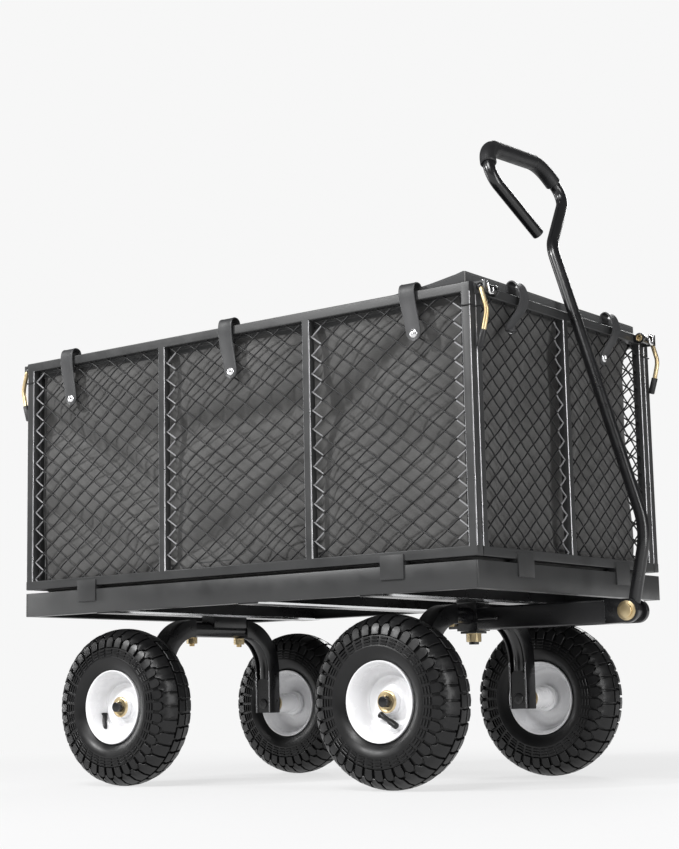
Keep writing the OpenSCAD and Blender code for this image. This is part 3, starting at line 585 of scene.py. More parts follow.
v = np.concatenate((np.linspace(0, TREAD_END - 1 * MM, 22), np.linspace(TREAD_END, BAR_END, 12),
                    np.linspace(BAR_END + 1 * MM, reach[-1], 22)))
v = np.concatenate((-v[:0:-1], v))
r, w, nr, nw = skin_at(v)
drop = floor_drop(v)
outer = np.stack((r - drop * nr, w - drop * nw), 1)
half_inside = np.array([(57, 25), (57, 18), (61, 19), (67, 25), (84, 32.5), (98, 32.5), (108, 29), (116, 22),
                        (120, 10)]) * MM
carcass = turned(np.vstack((outer, half_inside, half_inside[::-1] * (1, -1)))[::-1], 144)
tyre = joined((carcass, tread))
for place in WHEELS:
    piece("tyre_" + place + "_tread", at_wheel(tyre, place), "tyre", NODE_BODY["tyre_" + place],
          replaces=["tyre_" + place])


# ---- Rims and valves

rim_profile = smooth_path(np.array([
    (17.6, 2.2), (20.5, 2.2), (22.2, 1.2), (24, -0.2), (27, -0.8), (33, -0.9), (37, 0.2), (39.2, 1.4),
    (41.5, 0.4), (44.5, 0.2), (47.5, 2.2), (50.4, 8), (52.2, 15), (53.6, 21), (54.6, 26.5), (56.6, 30.4),
    (58.8, 32.6), (60.3, 32.9), (60.9, 31.8), (60.6, 30)]) * MM, 3)
rim_back = smooth_path(np.array([
    (60.6, 28), (57.6, 25), (56.6, 18), (53.5, 6), (53.5, -6), (56.6, -18), (57.6, -25), (60.6, -28),
    (60.9, -31.8), (60.3, -32.9), (58.8, -32.6), (56.6, -30.4), (54.6, -26.5), (53.2, -21), (51.6, -14),
    (49, -7), (45, -4.2), (38, -4.2), (33, -4.8), (28, -6), (24, -6.4), (17.6, -6.4)]) * MM, 3)
hub_profile = np.array([(14.1, 11), (16.6, 11), (17.4, 10.2), (17.6, 8.5), (17.6, -8), (21.5, -8.4),
                        (22, -9.5), (22, -17), (21, -18), (18.4, -18.4), (17.6, -19.5), (17.6, -65),
                        (16.8, -66), (14.1, -66)]) * MM
rim = joined((turned(np.vstack((rim_profile, rim_back))[::-1], 128), turned(hub_profile[::-1], 64)))
# Where each valve stands on its rim, as degrees and millimetres in the wheel's plane with the front of the
# cart at 0, and where it points
VALVES = {"front_left": (60, 32, 60), "front_right": (-134, 26.5, -27), "rear_left": (200, 32, 200),
          "rear_right": (193, 46, -80)}
valve_profile = np.array([(0, 0), (5.2, 0), (5.0, 1.4), (4.1, 3), (3.9, 6), (3.9, 20), (4.2, 20.6), (4.5, 21),
                          (5.0, 27), (5.0, 37.4), (4.4, 38.4), (0, 38.6)]) * MM
VALVE_LEAN = math.radians(80)
VALVE_SEAT = 3.4 * MM
for place, (_, side) in WHEELS.items():
    body = NODE_BODY["rim_" + place]
    piece("rim_" + place + "_pressed", at_wheel(rim, place), "rim_white", body, 28, ["rim_" + place])
    at, ring, to = VALVES[place]
    at, to, flat = math.radians(at), math.radians(to), math.sin(VALVE_LEAN)
    foot = (side * math.cos(at) * ring * MM, VALVE_SEAT, math.sin(at) * ring * MM)
    verts, faces = turned(valve_profile[::-1], 24)
    verts = about(verts, foot, (side * math.cos(to) * flat, math.cos(VALVE_LEAN), math.sin(to) * flat))
    piece("valve_" + place, at_wheel((verts, faces), place), None, body, 30, material=SLOTS["tyre"])


# ---- Steel parts with rounded edges

for node in ("bed_side_rail_left", "bed_side_rail_right", "bed_end_rail_front", "bed_end_rail_rear",
             "turntable_plate"):
    softened(node, 0.7 * MM)
# Section of the bright zinc lip along each lower edge of a cross member, as (out, up) in millimetres.
# The lip is tilted down so that the metal really mirrors the floor, but the lip itself is added to stand in
# for the floor's grazing reflection on the black paint: a painted reflection made as a bright part.
LIP = [(-0.4, 0.0), (0.2, 0.0), (3.0, 2.9), (3.0, 3.4), (-0.4, 3.4)]
for node in ("cross_member_front", "cross_member_middle", "cross_member_rear"):
    softened(node, 0.4 * MM, slot="gloss_black")
    low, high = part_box(node)
    lips = []
    for x, outward in ((low.x, -1), (high.x, 1)):
        ring = [(x + outward * out * MM, low.z + up * MM) for out, up in LIP][::-outward]
        verts = [(px, y, pz) for y in (low.y + 1 * MM, high.y - 1 * MM) for px, pz in ring]
        lips.append((verts, closed_run(2, len(ring), flip=True)))
    piece(node + "_reflection_lips", joined(lips), "zinc", NODE_BODY[node], 30)


def outer_edge(middle, tall):
    """Whether a panel's rounded edge runs up the outside of the basket, where it gets the painted highlight.
    """
    return tall > 0.2 and (abs(middle.y) > HALF_W - 3 * MM or abs(middle.x - BED_X) > HALF_L - 3 * MM)


# The outer rounded edges of the panels get the painted highlight
for node in ("side_panel_left", "side_panel_right", "end_panel_front", "end_panel_rear"):
    softened(node, 2.2 * MM, 3, bright=outer_edge)
LEG_LIP_Y = 131 * MM
# The lips of each leg's channel get the painted highlight too
for node in ("rear_leg_left", "rear_leg_right", "front_leg_left", "front_leg_right"):
    softened(node, 0.9 * MM, 3, bright=lambda c, tall: tall > 0.03 and abs(c.y) < LEG_LIP_Y)
for node in ("rear_axle_arch", "front_axle_arch", "rear_stub_axles", "front_stub_axles", "kingpin_housing",
             "drawbar", "drawbar_clevis", "handle_eye", "latch_barrels", "kingpin"):
    softened(node, 0.9 * MM, 3)


# ---- Fasteners

def hex_head(flats, height):
    """Hexagon about +Y from 0 to height with chamfered corners."""
    corner = flats / math.sqrt(3)
    steps = 48
    a = 2 * math.pi * np.arange(steps) / steps
    edge = flats / 2 / np.cos((a + math.pi / 6) % (math.pi / 3) - math.pi / 6)
    rings = []
    for share, y in ((0.93, 0), (1, 0.07), (1, 0.93), (0.93, 1)):
        r = np.minimum(edge, corner * share)
        rings.append(np.stack((r * np.cos(a), np.full(steps, y * height), r * np.sin(a)), 1))
    return np.vstack(rings), closed_run(4, steps, flip=True)


def thread(radius, y0, y1, pitch):
    """Threaded shank about +Y: rings that swell and shrink along the length, with a chamfered tip."""
    count = max(4, round((y1 - y0) / pitch * 2))
    y = np.linspace(y0, y1, count + 1)
    r = radius - 0.35 * pitch * (np.arange(count + 1) % 2)
    r[-1] = radius - 0.9 * MM
    return turned([(0, y0)] + list(zip(r, y)) + [(0, y1)], 32)


def spun(profile, steps=40):
    return turned([(r * MM, y * MM) for r, y in profile][::-1], steps)


def raised(shape, y, over=False):
    """A shape moved up its own axis, and turned end for end if over."""
    verts, faces = shape
    return verts * np.array((1, -1 if over else 1, 1)) + (0, y, 0), flipped(faces) if over else faces


def fastener(name, parts, place, axis, slot, body="cart", replaces=()):
    verts, faces = joined(parts)
    piece(name, (about(verts, place, axis), faces), slot, body, 32, replaces)


PIVOT = middle_of("handle_eye")
near_cheek, far_cheek = ((PIVOT.x, corner.y, PIVOT.z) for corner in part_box("drawbar_clevis"))
stepped = [(0, 8.6), (9.2, 8.6), (10.2, 8.3), (10.9, 7.4), (11.1, 6.2), (11.1, 3.9), (11.7, 3.6), (14.2, 3.5),
           (14.8, 3.1), (15, 2.4), (15, 1.2), (0, 1.2)]
fastener("pivot_head", [spun(stepped, 64)], near_cheek, (0, -1, 0), "brass", "front_axle",
         ["pivot_bolt"])
fastener("pivot_washer", [spun([(6, 0), (15.6, 0), (16, 0.4), (16, 1.0), (15.6, 1.4), (6, 1.4)], 64)],
         near_cheek, (0, -1, 0), "gloss_black", "front_axle")
fastener("pivot_nut", [hex_head(19 * MM, 9 * MM), thread(5.9 * MM, 8.6 * MM, 11 * MM, 1.2 * MM)],
         far_cheek, (0, 1, 0), "brass", "front_axle")
fastener("pivot_shank", [spun([(0, -0.5), (5.95, -0.5), (5.95, 38.5), (0, 38.5)])],
         near_cheek, (0, 1, 0), "brass", "front_axle")

MOUNT_NUT = 17 * MM
low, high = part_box("rear_mount_bolts")
for place, y, stands_for in (("left", high.y - MOUNT_NUT / math.sqrt(3), ["rear_mount_bolts"]),
                             ("right", low.y + MOUNT_NUT / math.sqrt(3), [])):
    parts = [raised(thread(4.9 * MM, 0, 16 * MM, 1.5 * MM), 16 * MM, over=True),
             raised(hex_head(MOUNT_NUT, 9 * MM), 4.5 * MM),
             spun([(5, 13.5), (9.5, 13.5), (9.8, 13.8), (9.8, 15.2), (9.5, 15.5), (5, 15.5)])]
    fastener("mount_bolt_" + place, parts, ((low.x + high.x) / 2, y, low.z), (0, 0, 1), "brass", "cart",
             stands_for)

low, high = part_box("kingpin_nut")
pin_x, washer_low = (low.x + high.x) / 2, high.z - 4 * MM
plate = [(x * k * MM, z * MM, y * k * MM) for z, k in ((0.3, 0.985), (0.7, 1), (3.4, 1), (3.9, 0.985))
         for x, y in ((-15, -15), (15, -15), (15, 15), (-15, 15))]
fastener("kingpin_washer", [(plate, closed_run(4, 4, flip=True))], (pin_x, 0, washer_low), (0, 0, 1),
         "gloss_black", "cart", ["kingpin_nut"])
fastener("kingpin_hex", [hex_head(21 * MM, 13 * MM),
                         spun([(8.2, 12.6), (12.2, 12.6), (12.6, 13), (12.6, 13.3), (8.2, 13.3)])],
         (pin_x, 0, washer_low - 13 * MM), (0, 0, 1), "brass")

BOLT_HEAD = 6 * MM
low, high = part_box("drawbar_bolt")
head_foot = ((low.x + high.x) / 2, low.y + BOLT_HEAD, (low.z + high.z) / 2)
length = high.y - low.y - BOLT_HEAD
fastener("drawbar_bolt_head", [hex_head(20 * MM, BOLT_HEAD)], head_foot, (0, -1, 0), "brass", "front_axle",
         ["drawbar_bolt"])
fastener("drawbar_bolt_end", [thread(4.9 * MM, 0, length, 1.5 * MM),
                              raised(hex_head(14 * MM, 7 * MM), length - 10 * MM)],
         head_foot, (0, 1, 0), "brass", "front_axle")

# Block in the foot of each leg's channel that takes the head of the axle bolt
LEG_INSET, PAD_HALF, PAD_FACE, PAD_TOP, PAD_FOOT = 89 * MM, 13.6 * MM, -11.3 * MM, 177 * MM, 114 * MM
PAD_ROUND = 9 * MM
pad = [(-PAD_HALF, PAD_FOOT), (PAD_HALF, PAD_FOOT)]
pad += [(PAD_HALF * math.cos(a), PAD_TOP - PAD_ROUND + PAD_ROUND * math.sin(a))
        for a in np.radians(range(0, 181, 15))]
pad_verts = [(x * k, y, z if k == 1 else z - 0.6 * MM * (z > PAD_TOP - PAD_ROUND))
             for y, k in ((PAD_HALF, 1), (PAD_FACE + 0.8 * MM, 1), (PAD_FACE, 0.95)) for x, z in pad]
pad_faces = closed_run(3, len(pad))
head = [(0, 2.6), (3.2, 2.6), (3.6, 2.2), (4.2, 2.2), (4.6, 2.6), (8.2, 2.4), (8.9, 1.6), (9, 0), (0, 0)]
for place, (centre, side) in WHEELS.items():
    end, hand = place.split("_")
    leg_y = abs(centre.y) - LEG_INSET
    body = NODE_BODY[end + "_leg_" + hand]
    verts = [(centre.x + x, side * (leg_y + y), z) for x, y, z in pad_verts]
    piece("leg_pad_" + place, (verts, pad_faces if side > 0 else flipped(pad_faces)), "gloss_black", body, 30)
    fastener("leg_bolt_" + place, [spun(head)], (centre.x, side * (leg_y + PAD_FACE + 0.1 * MM), centre.z),
             (0, -side, 0), "gloss_black", body)

NUT_FACE = 14 * MM
cap = [(0, 5.2), (6.4, 5.2), (7, 4.7), (7, 2.4), (0, 2.4)]
pin = [(-8.6, 5.9, -0.8), (-6, 6.2, -0.6), (0, 6.3, 0.2), (5.4, 6.2, 0.8), (8, 5.4, 1.6), (9.8, 3.6, 2.6)]
ring = [(8.05, 11), (16.4, 11), (16.9, 11.5), (16.9, 12.6), (16.2, 13.5), (14.4, 14.2), (12.6, 13.7),
        (11.4, 13.5), (8.05, 13.5)]
back = [(8.05, -66), (8.05, -68.4), (15.2, -68.4), (15.9, -67.9), (15.9, -66.4), (15.4, -66)]
for place, (centre, side) in WHEELS.items():
    end, hand = place.split("_")
    nuts = end + "_axle_nuts"
    seat = centre + Vector((0, side * NUT_FACE, 0))
    fastener("wheel_nut_" + place, [hex_head(16.4 * MM, 3.2 * MM), spun(cap)], seat, (0, side, 0),
             "gloss_black", NODE_BODY[nuts], [nuts] if hand == "left" else ())
    fastener("wheel_pin_" + place, [tube(smooth_path(np.array(pin) * MM, 4), 1.15 * MM, 10)], seat,
             (0, side, 0), "brass", NODE_BODY[nuts])
    fastener("bearing_" + place, [spun(ring, 56), spun(back[::-1], 56)], centre, (0, side, 0), "brass",
             NODE_BODY["rim_" + place], ["bearings_" + place])


# ---- Woven wire mesh

WIRE_R, WIRE_SIDES = 1.25 * MM, 8
WEAVE = 0.8 * MM
# Length of each wire end that gets the painted highlight
HIGHLIGHT_END = 23 * MM
DIAMOND_HEIGHT = 29 * MM
UPRIGHT_WIDTH = 14 * MM
UPRIGHTS = [(8 - 305 / 2) * MM, (8 + 305 / 2) * MM]


def wire_bay(width, height, diamond):
    """Woven wires of one bay, centred in its own plane: lists of (across, up, out) points.
    The bay holds a whole number of half diamonds, so the wires meet at the tubes."""
    halves = round(width / (diamond / 2))
    diamond = 2 * width / halves
    slope = DIAMOND_HEIGHT / diamond
    half_w, half_h = width / 2 + 0.6 * MM, height / 2 + 0.6 * MM
    wires = []
    count = math.ceil((half_h + slope * half_w) / DIAMOND_HEIGHT) + 1
    for sign in (1, -1):
        for k in range(-count, count + 1):
            shift = (k + (halves % 2) / 2 * (sign > 0)) * DIAMOND_HEIGHT
            ends = sorted(sign * (e * half_h - shift) / slope for e in (-1, 1))
            start, stop = max(-half_w, ends[0]), min(half_w, ends[1])
            if stop - start < 5 * MM:
                continue
            run = math.hypot(1, slope)
            steps = [start, stop]
            # Extra points where the painted highlight on the wire ends stops
            if stop - start > 2.6 * HIGHLIGHT_END / run:
                steps += [start + HIGHLIGHT_END / run, stop - HIGHLIGHT_END / run]
            quarter = diamond / 4
            steps += [j * quarter for j in range(math.ceil(start / quarter), math.floor(stop / quarter) + 1)]
            steps = sorted(set(round(x, 6) for x in steps))
            steps = [x for i, x in enumerate(steps) if i == 0 or x - steps[i - 1] > 0.4 * MM]
            wires.append([(x, sign * slope * x + shift, sign * WEAVE * math.cos(2 * math.pi * x / diamond))
                          for x in steps])
    return wires


def wire_panel(name, bays, diamond, place, body, bright):
    """All the wires of one panel. place turns (across, up, out) into a point in the frame;
    bright gives, for each bay, the sides (-1 or 1) at which the wire ends get a painted highlight: a lighter
    grey material that stands in for their glint against the dark gap beside the tubes."""
    parts, highlit_faces = [], []
    for (middle, width), sides in zip(bays, bright):
        for wire in wire_bay(width, MESH_HIGH - MESH_LOW, diamond):
            points = [place(middle + x, (MESH_LOW + MESH_HIGH) / 2 + z, out) for x, z, out in wire]
            parts.append(tube(points, WIRE_R, WIRE_SIDES))
            length = run_along(points)
            halfway = (length[1:] + length[:-1]) / 2
            # Wire ends on the chosen sides get the painted highlight material
            at_low = -1 in sides and wire[0][0] < -width / 2
            at_high = 1 in sides and wire[-1][0] > width / 2
            ends = at_low & (halfway < HIGHLIGHT_END) | at_high & (length[-1] - halfway < HIGHLIGHT_END)
            highlit_faces += [*np.repeat(ends, WIRE_SIDES), False, False]
    made = piece(name + "_wires", joined(parts), "powder_coat", body, 60, [name], WIRE)
    made.data.materials.append(WIRE_HIGHLIGHT)
    made.data.polygons.foreach_set("material_index", [int(b) for b in highlit_faces])


edges = [-HALF_L + FRAME_TUBE, UPRIGHTS[0] - UPRIGHT_WIDTH / 2, UPRIGHTS[0] + UPRIGHT_WIDTH / 2,
         UPRIGHTS[1] - UPRIGHT_WIDTH / 2, UPRIGHTS[1] + UPRIGHT_WIDTH / 2, HALF_L - FRAME_TUBE]
SIDE_BAYS = [((a + b) / 2, b - a) for a, b in (edges[0:2], edges[2:4], edges[4:6])]
end_half = HALF_W - FRAME_TUBE - 2 * MM - UPRIGHT_WIDTH
END_BAYS = [(s * (end_half + UPRIGHT_WIDTH / 2) / 2, end_half - UPRIGHT_WIDTH / 2) for s in (-1, 1)]
# The last argument picks the bay sides whose wire ends get the painted highlight
for hand, side in (("left", 1), ("right", -1)):
    wire_panel("side_mesh_" + hand, SIDE_BAYS, 41 * MM,
               lambda a, z, out: (BED_X + a, side * (HALF_W - FRAME_TUBE / 2 + out), z), "cart",
               [(-1,), (-1,), (-1, 1)])
for hand, end in (("front", 1), ("rear", -1)):
    wire_panel("end_mesh_" + hand, END_BAYS, 36 * MM,
               lambda a, z, out: (BED_X + end * (HALF_L - FRAME_TUBE / 2 + out), a, z), "cart",
               [(1,), ()])


# ---- Liner

LINER_X = (LINER_HIGH.x - LINER_LOW.x) / 2
LINER_Y = LINER_HIGH.y
CORNERS = [20 * MM, 9 * MM, 9 * MM, 12 * MM]
CLOTH = 1.3 * MM
CORNER_SIGNS = ((1, 1), (-1, 1), (-1, -1), (1, -1))


def round_loop(half_x, half_y, radii, step, corner_steps):
    """Closed outline with rounded corners: points, outward normals and (wall, distance along it).
    radii are those of the front left, rear left, rear right and front right corners."""
    points, normals, places = [], [], []
    for index, (sx, sy) in enumerate(CORNER_SIGNS):
        start = 90 * index
        radius, next_radius = radii[index], radii[(index + 1) % 4]
        centre = np.array((sx * (half_x - radius), sy * (half_y - radius)))
        for j in range(corner_steps):
            a = math.radians(start + 90 * j / corner_steps)
            normal = np.array((math.cos(a), math.sin(a)))
            points.append(centre + radius * normal)
            normals.append(normal)
            places.append(("corner", 0.0))
        wall = "side" if index % 2 == 0 else "end"
        nx, ny = CORNER_SIGNS[(index + 1) % 4]
        last = np.array((nx * (half_x - next_radius), ny * (half_y - next_radius)))
        a = math.radians(start + 90)
        normal = np.array((math.cos(a), math.sin(a)))
        begin, finish = centre + radius * normal, last + next_radius * normal
        count = max(2, round(np.linalg.norm(finish - begin) / step))
        for j in range(count):
            point = begin + (finish - begin) * j / count
            points.append(point)
            normals.append(normal)
            places.append((wall, point[0] if wall == "side" else point[1]))
    return np.array(points), np.array(normals), places


def bay_bulge(x, bays):
    """0 at the tubes on both sides of a bay and 1 across its middle."""
    for middle, width in bays:
        share = (x - middle) / width + 0.5
        if 0 <= share <= 1:
            return min(1.0, math.sin(math.pi * share) * 2.4) ** 0.55
    return 0.0


def corner_hold(x, y):
    """1 near a corner that stands tight in the frame, down to 0 along the walls and at the slack corner."""
    near = 1 - min(1.0, math.hypot(LINER_X - abs(x), LINER_Y - abs(y)) / (26 * MM))
    return 0.0 if x > 0 and y > 0 else near ** 0.5


def ease(x):
    x = np.clip(x, 0, 1)
    return x * x * (3 - 2 * x)


# Large folds of the slack cloth on each kind of wall: both ends, as the distance along the wall and the share
# of its height, then depth and half width in millimetres
FOLDS = {"side": [(-0.165, 0.60, 0.165, 0.66, 22, 24), (0.165, 0.56, 0.34, 0.82, 20, 20),
                  (-0.46, 0.80, -0.165, 0.32, 22, 20),
                  (-0.08, 0.10, 0.16, 0.40, 12, 18), (0.26, 0.56, 0.50, 0.16, 8, 22),
                  (-0.50, 0.40, -0.24, 0.10, 9, 16)],
         "end": [(-0.16, 0.88, -0.03, 0.08, 20, 20), (0.05, 0.84, 0.17, 0.25, 12, 20)],
         "corner": []}


def folds(a, z, wall, seed):
    """Soft slanting folds of slack cloth with short pleats across them, in metres outwards."""
    height = wall_high - wall_low
    warp = 0.030 * np.sin(z / 0.13 + seed) + 0.022 * np.sin(a / 0.10 + 1.7 * seed)
    slack = 0.0026 * np.sin(2 * math.pi * (0.62 * a + 0.78 * z + warp) / 0.150 + 1.4 * seed)
    slack += 0.0040 * np.sin(2 * math.pi * (0.75 * a - 0.5 * z) / 0.26 + 2.1 * seed) - 3.5 * MM
    pull = 0.0
    for a0, s0, a1, s1, depth, width in FOLDS[wall]:
        depth, width = depth * MM, width * MM
        da, dz = a1 - a0, (s1 - s0) * height
        length = math.hypot(da, dz)
        along = ((a - a0) * da + (z - wall_low - s0 * height) * dz) / length
        away = ((a - a0) * dz - (z - wall_low - s0 * height) * da) / length + 0.25 * warp
        past = np.maximum(0, np.maximum(-along, along - length)) / (2 * width)
        share = np.where(away * math.copysign(1, da) < 0, away / width, away / (2.4 * width))
        pull = pull + depth * np.exp(-np.abs(share) ** 1.7 - past ** 2)
    pleats = np.sin(2 * math.pi * (0.93 * a - 0.36 * z + 0.3 * warp) / 0.022)
    return slack - pull * (1 + 0.13 * pleats)


outline, normals, places = round_loop(LINER_X, LINER_Y, CORNERS, 4.5 * MM, 8)
rows = np.linspace(LINER_LOW.z + 14 * MM, PANEL_TOP + 1.5 * MM, 66)
wall_low, wall_high = rows[0], rows[-1]
relief = np.zeros((len(rows), len(outline)))
for i, (wall, along) in enumerate(places):
    near = {"side": SIDE_BAYS, "end": END_BAYS, "corner": []}[wall]
    bulge = bay_bulge(along, near)
    face = 1 if normals[i].sum() > 0 else -1
    seed = {"side": 1.3, "end": 4.2, "corner": 2.0}[wall] * face + (0.4 if wall == "end" else 0.0)
    top_fade = ease((PANEL_TOP - 6 * MM - rows) / (60 * MM))
    low_fade = ease((rows - wall_low) / (30 * MM))
    hold = top_fade * low_fade
    rest = (-18 * MM + 21 * MM * bulge) * (1 - corner_hold(*outline[i]))
    above = np.where(rows > PANEL_TOP, -1.4 * MM, 0)
    relief[:, i] = above + hold * rest + (1 - hold) * -4 * MM * (rows < PANEL_TOP)
    free = low_fade * ease((PANEL_TOP - 6 * MM - rows) / (75 * MM))
    wave = folds(-face * along, rows, wall, seed) * free * (0.35 + 0.65 * bulge)
    relief[:, i] += np.minimum(wave, 3.2 * MM - hold * rest)
smooth = np.array([0.25, 0.5, 0.25])
for _ in range(2):
    relief = smooth[0] * np.roll(relief, 1, 1) + smooth[1] * relief + smooth[2] * np.roll(relief, -1, 1)


def bag_ring(row, inward, pull=0.0, rise=0.0):
    """Points round the bag at one row, pulled in towards its middle and lifted."""
    flat = (outline + normals * (relief[row] - inward)[:, None]) * (1 - pull / LINER_X, 1 - pull / LINER_Y)
    return np.column_stack((BED_X + flat[:, 0], flat[:, 1], np.full(len(flat), rows[row] + rise)))


# Rings of the bag's floor and rounded foot, as (pulled in, raised) in millimetres
FLOOR_RINGS = ((200, 0), (110, 0), (60, 0), (28, 0), (14, 0), (9, 0.5), (5, 2), (2, 5), (0.5, 9))


def cloth_bag():
    """Closed thin skin of the liner: outer wall, rounded foot, floor, and the same inside."""
    count = len(outline)
    levels = len(FLOOR_RINGS) + len(rows)
    skins = []
    for inward in (0.0, CLOTH):
        low = LINER_LOW.z + inward
        rings = [bag_ring(0, inward, pull * MM, low + rise * MM - rows[0]) for pull, rise in FLOOR_RINGS]
        rings += [bag_ring(row, inward) for row in range(len(rows))]
        faces = quads(levels, count) + [((k + 1) % count, k, levels * count) for k in range(count)]
        skins.append((np.vstack(rings + [(BED_X, 0, low)]), flipped(faces) if inward else faces))
    verts, faces = joined(skins)
    last = (levels - 1) * count
    inside = last + levels * count + 1
    faces += [(last + k, last + (k + 1) % count, inside + (k + 1) % count, inside + k) for k in range(count)]
    return verts, faces


liner = piece("liner_cloth", cloth_bag(), "liner", "cart", 60, ["liner_body"])

# Stiff tape folded over the liner's rim, with two rows of stitches on each side
tape_outline, tape_normals, _ = round_loop(LINER_X, LINER_Y, [4.4 * MM] * 4, 12 * MM, 6)


def rim_height(x, y):
    """Height of the rim: full across the front, pulled down behind the first side strap, low at the rear."""
    pulled = (LINER_HIGH.z - PANEL_TOP - 8.5 * MM) * ease((x - 0.352) / 0.115)
    side = 3.5 * MM + 5 * MM * ease((x - 0.30) / 0.06) + pulled
    front = LINER_HIGH.z - 2.5 * MM * ease((y + 0.1) / 0.36) - PANEL_TOP
    return PANEL_TOP + np.where(x > LINER_X - 12 * MM, np.maximum(front, side), side)


TAPE_TOP = rim_height(tape_outline[:, 0], tape_outline[:, 1])
tape_section = [(0.2, -22), (0, -21.4), (0, -1.5), (0.25, -0.6), (0.9, 0), (3.3, 0), (4.0, -0.6), (4.3, -1.5),
                (4.3, -29), (4.1, -29.6), (3.1, -29.6), (2.9, -29), (2.9, -22)]


def tape_ring(inward, up):
    """Points round the tape, from its outer face and its top edge, in millimetres."""
    flat = tape_outline - tape_normals * inward * MM
    return np.column_stack((BED_X + flat[:, 0], flat[:, 1], TAPE_TOP + up * MM))


tape = piece("liner_rim_tape", (np.vstack([tape_ring(*p) for p in tape_section]),
                                quads(len(tape_section), len(tape_outline), looped=True)),
             "strap", "cart", 40, material=RIM_TAPE)


def stitches(path, normal, length=3.6 * MM, gap=2.4 * MM, radius=0.42 * MM):
    """Row of short raised threads along a polyline whose outward normals are given."""
    path, normal = np.asarray(path, float), np.asarray(normal, float)
    run = run_along(path)
    parts = []
    for start in np.arange(gap, run[-1] - length, length + gap):
        at = np.linspace(start, start + length, 4)
        centre = np.stack([np.interp(at, run, path[:, k]) for k in range(3)], 1)
        out = np.stack([np.interp(at, run, normal[:, k]) for k in range(3)], 1)
        rise = np.array([-0.5, 0.35, 0.35, -0.5])[:, None] * radius
        parts.append(tube(centre + out * rise, [radius * 0.7, radius, radius, radius * 0.7], 5))
    return joined(parts)


def loop_closed(points):
    return np.vstack((points, points[:1]))


rows_of_stitches = []
for side, inward, up in ((1, 0.0, -3.5), (1, 0.0, -18.5), (-1, 4.3, -3.5), (-1, 4.3, -26)):
    out = np.column_stack((side * tape_normals, np.zeros(len(tape_normals))))
    rows_of_stitches.append(stitches(loop_closed(tape_ring(inward, up)), loop_closed(out)))
for signs in CORNER_SIGNS:
    k = int(np.argmax(tape_outline @ np.array(signs)))
    rows_of_stitches.append(tube([tape_ring(-0.4, -down)[k] for down in (0.6, 7, 14, 21.5)], 1.3 * MM, 10))
rim_thread = piece("liner_rim_stitches", joined(rows_of_stitches), "strap", "cart", 60, material=THREAD)

# Bound seams inside the bag: up the four corners and round the floor
BAND = [(-0.5, 0), (-0.47, 0.8), (-0.4, 1), (0.4, 1), (0.47, 0.8), (0.5, 0)]
UP = np.array((0, 0, 1))
inside = np.array([bag_ring(row, CLOTH) for row in range(len(rows) - 2)])
inwards = np.column_stack((-normals, np.zeros(len(normals))))
bands = []
for signs in CORNER_SIGNS:
    i = int(np.argmax(outline @ np.array(signs)))
    bands.append(ribbon(inside[:, i], np.cross(inwards[i], UP), inwards[i], 13 * MM, 1.0 * MM, BAND))
bands.append(ribbon(loop_closed(inside[2]), UP, loop_closed(inwards), 11 * MM, 0.9 * MM, BAND))
seams = piece("liner_seams", joined(bands), "strap", "cart", 60, material=RIM_TAPE)
wall = wall_high - LINER_LOW.z


# ---- Straps and snaps

# Paths of the hanging straps, as (outward, up) in millimetres from the panel's top outer edge
SIDE_HANG = [(-16.8, -4), (-16.9, 3), (-15.6, 8.5), (-11, 12.3), (-4.5, 12.8), (1.2, 9.8), (3.8, 3),
             (4.2, -6), (3.6, -20), (3.2, -40), (3.1, -60)]
END_START = [(-16.8, 8), (-16.8, 16), (-14.6, 21.4), (-9, 24)]
END_HANG = END_START + [(-3, 21.6), (2, 14.5), (5.6, 4), (8.4, -8), (8.6, -22), (6.2, -38), (3.8, -54)]
CURLED_HANG = END_START + [(-3, 22), (2.4, 15.5), (6.2, 5), (8.2, -9), (8.4, -24), (6.6, -39), (5.2, -50),
                           (5.2, -57), (8.4, -62.4), (14.5, -64.2)]
STRAP_T = 2.5 * MM
STRAP_FACE = 0.36
HALF_SECTION = [(-0.5, -0.28), (-0.5, 0.28), (-0.46, 0.5), (-0.40, 0.47), (-0.36, STRAP_FACE)]
STRAP_SECTION = (HALF_SECTION + [(0, STRAP_FACE)] + [(-w, t) for w, t in HALF_SECTION[::-1]]
                 + [(0.46, -0.5), (0, -0.5), (-0.46, -0.5)])
SNAP_UP = 13 * MM
RING_SNAP = [(0, 0.3), (2.0, 0.3), (2.6, 0.9), (3.4, 1.9), (4.4, 2.3), (5.6, 1.9), (6.6, 0.9), (6.9, 0),
             (0, -0.4)]
DOMED_SNAP = [(0, 2.7), (1.6, 2.6), (3.2, 2.2), (4.6, 1.5), (5.6, 0.8), (6.4, 0.6), (6.7, 0.2), (6.6, -0.4),
              (0, -0.4)]
STUD = [(0, 1.2), (3, 1.1), (4.4, 0.7), (4.8, 0), (4.6, -0.3), (0, -0.3)]


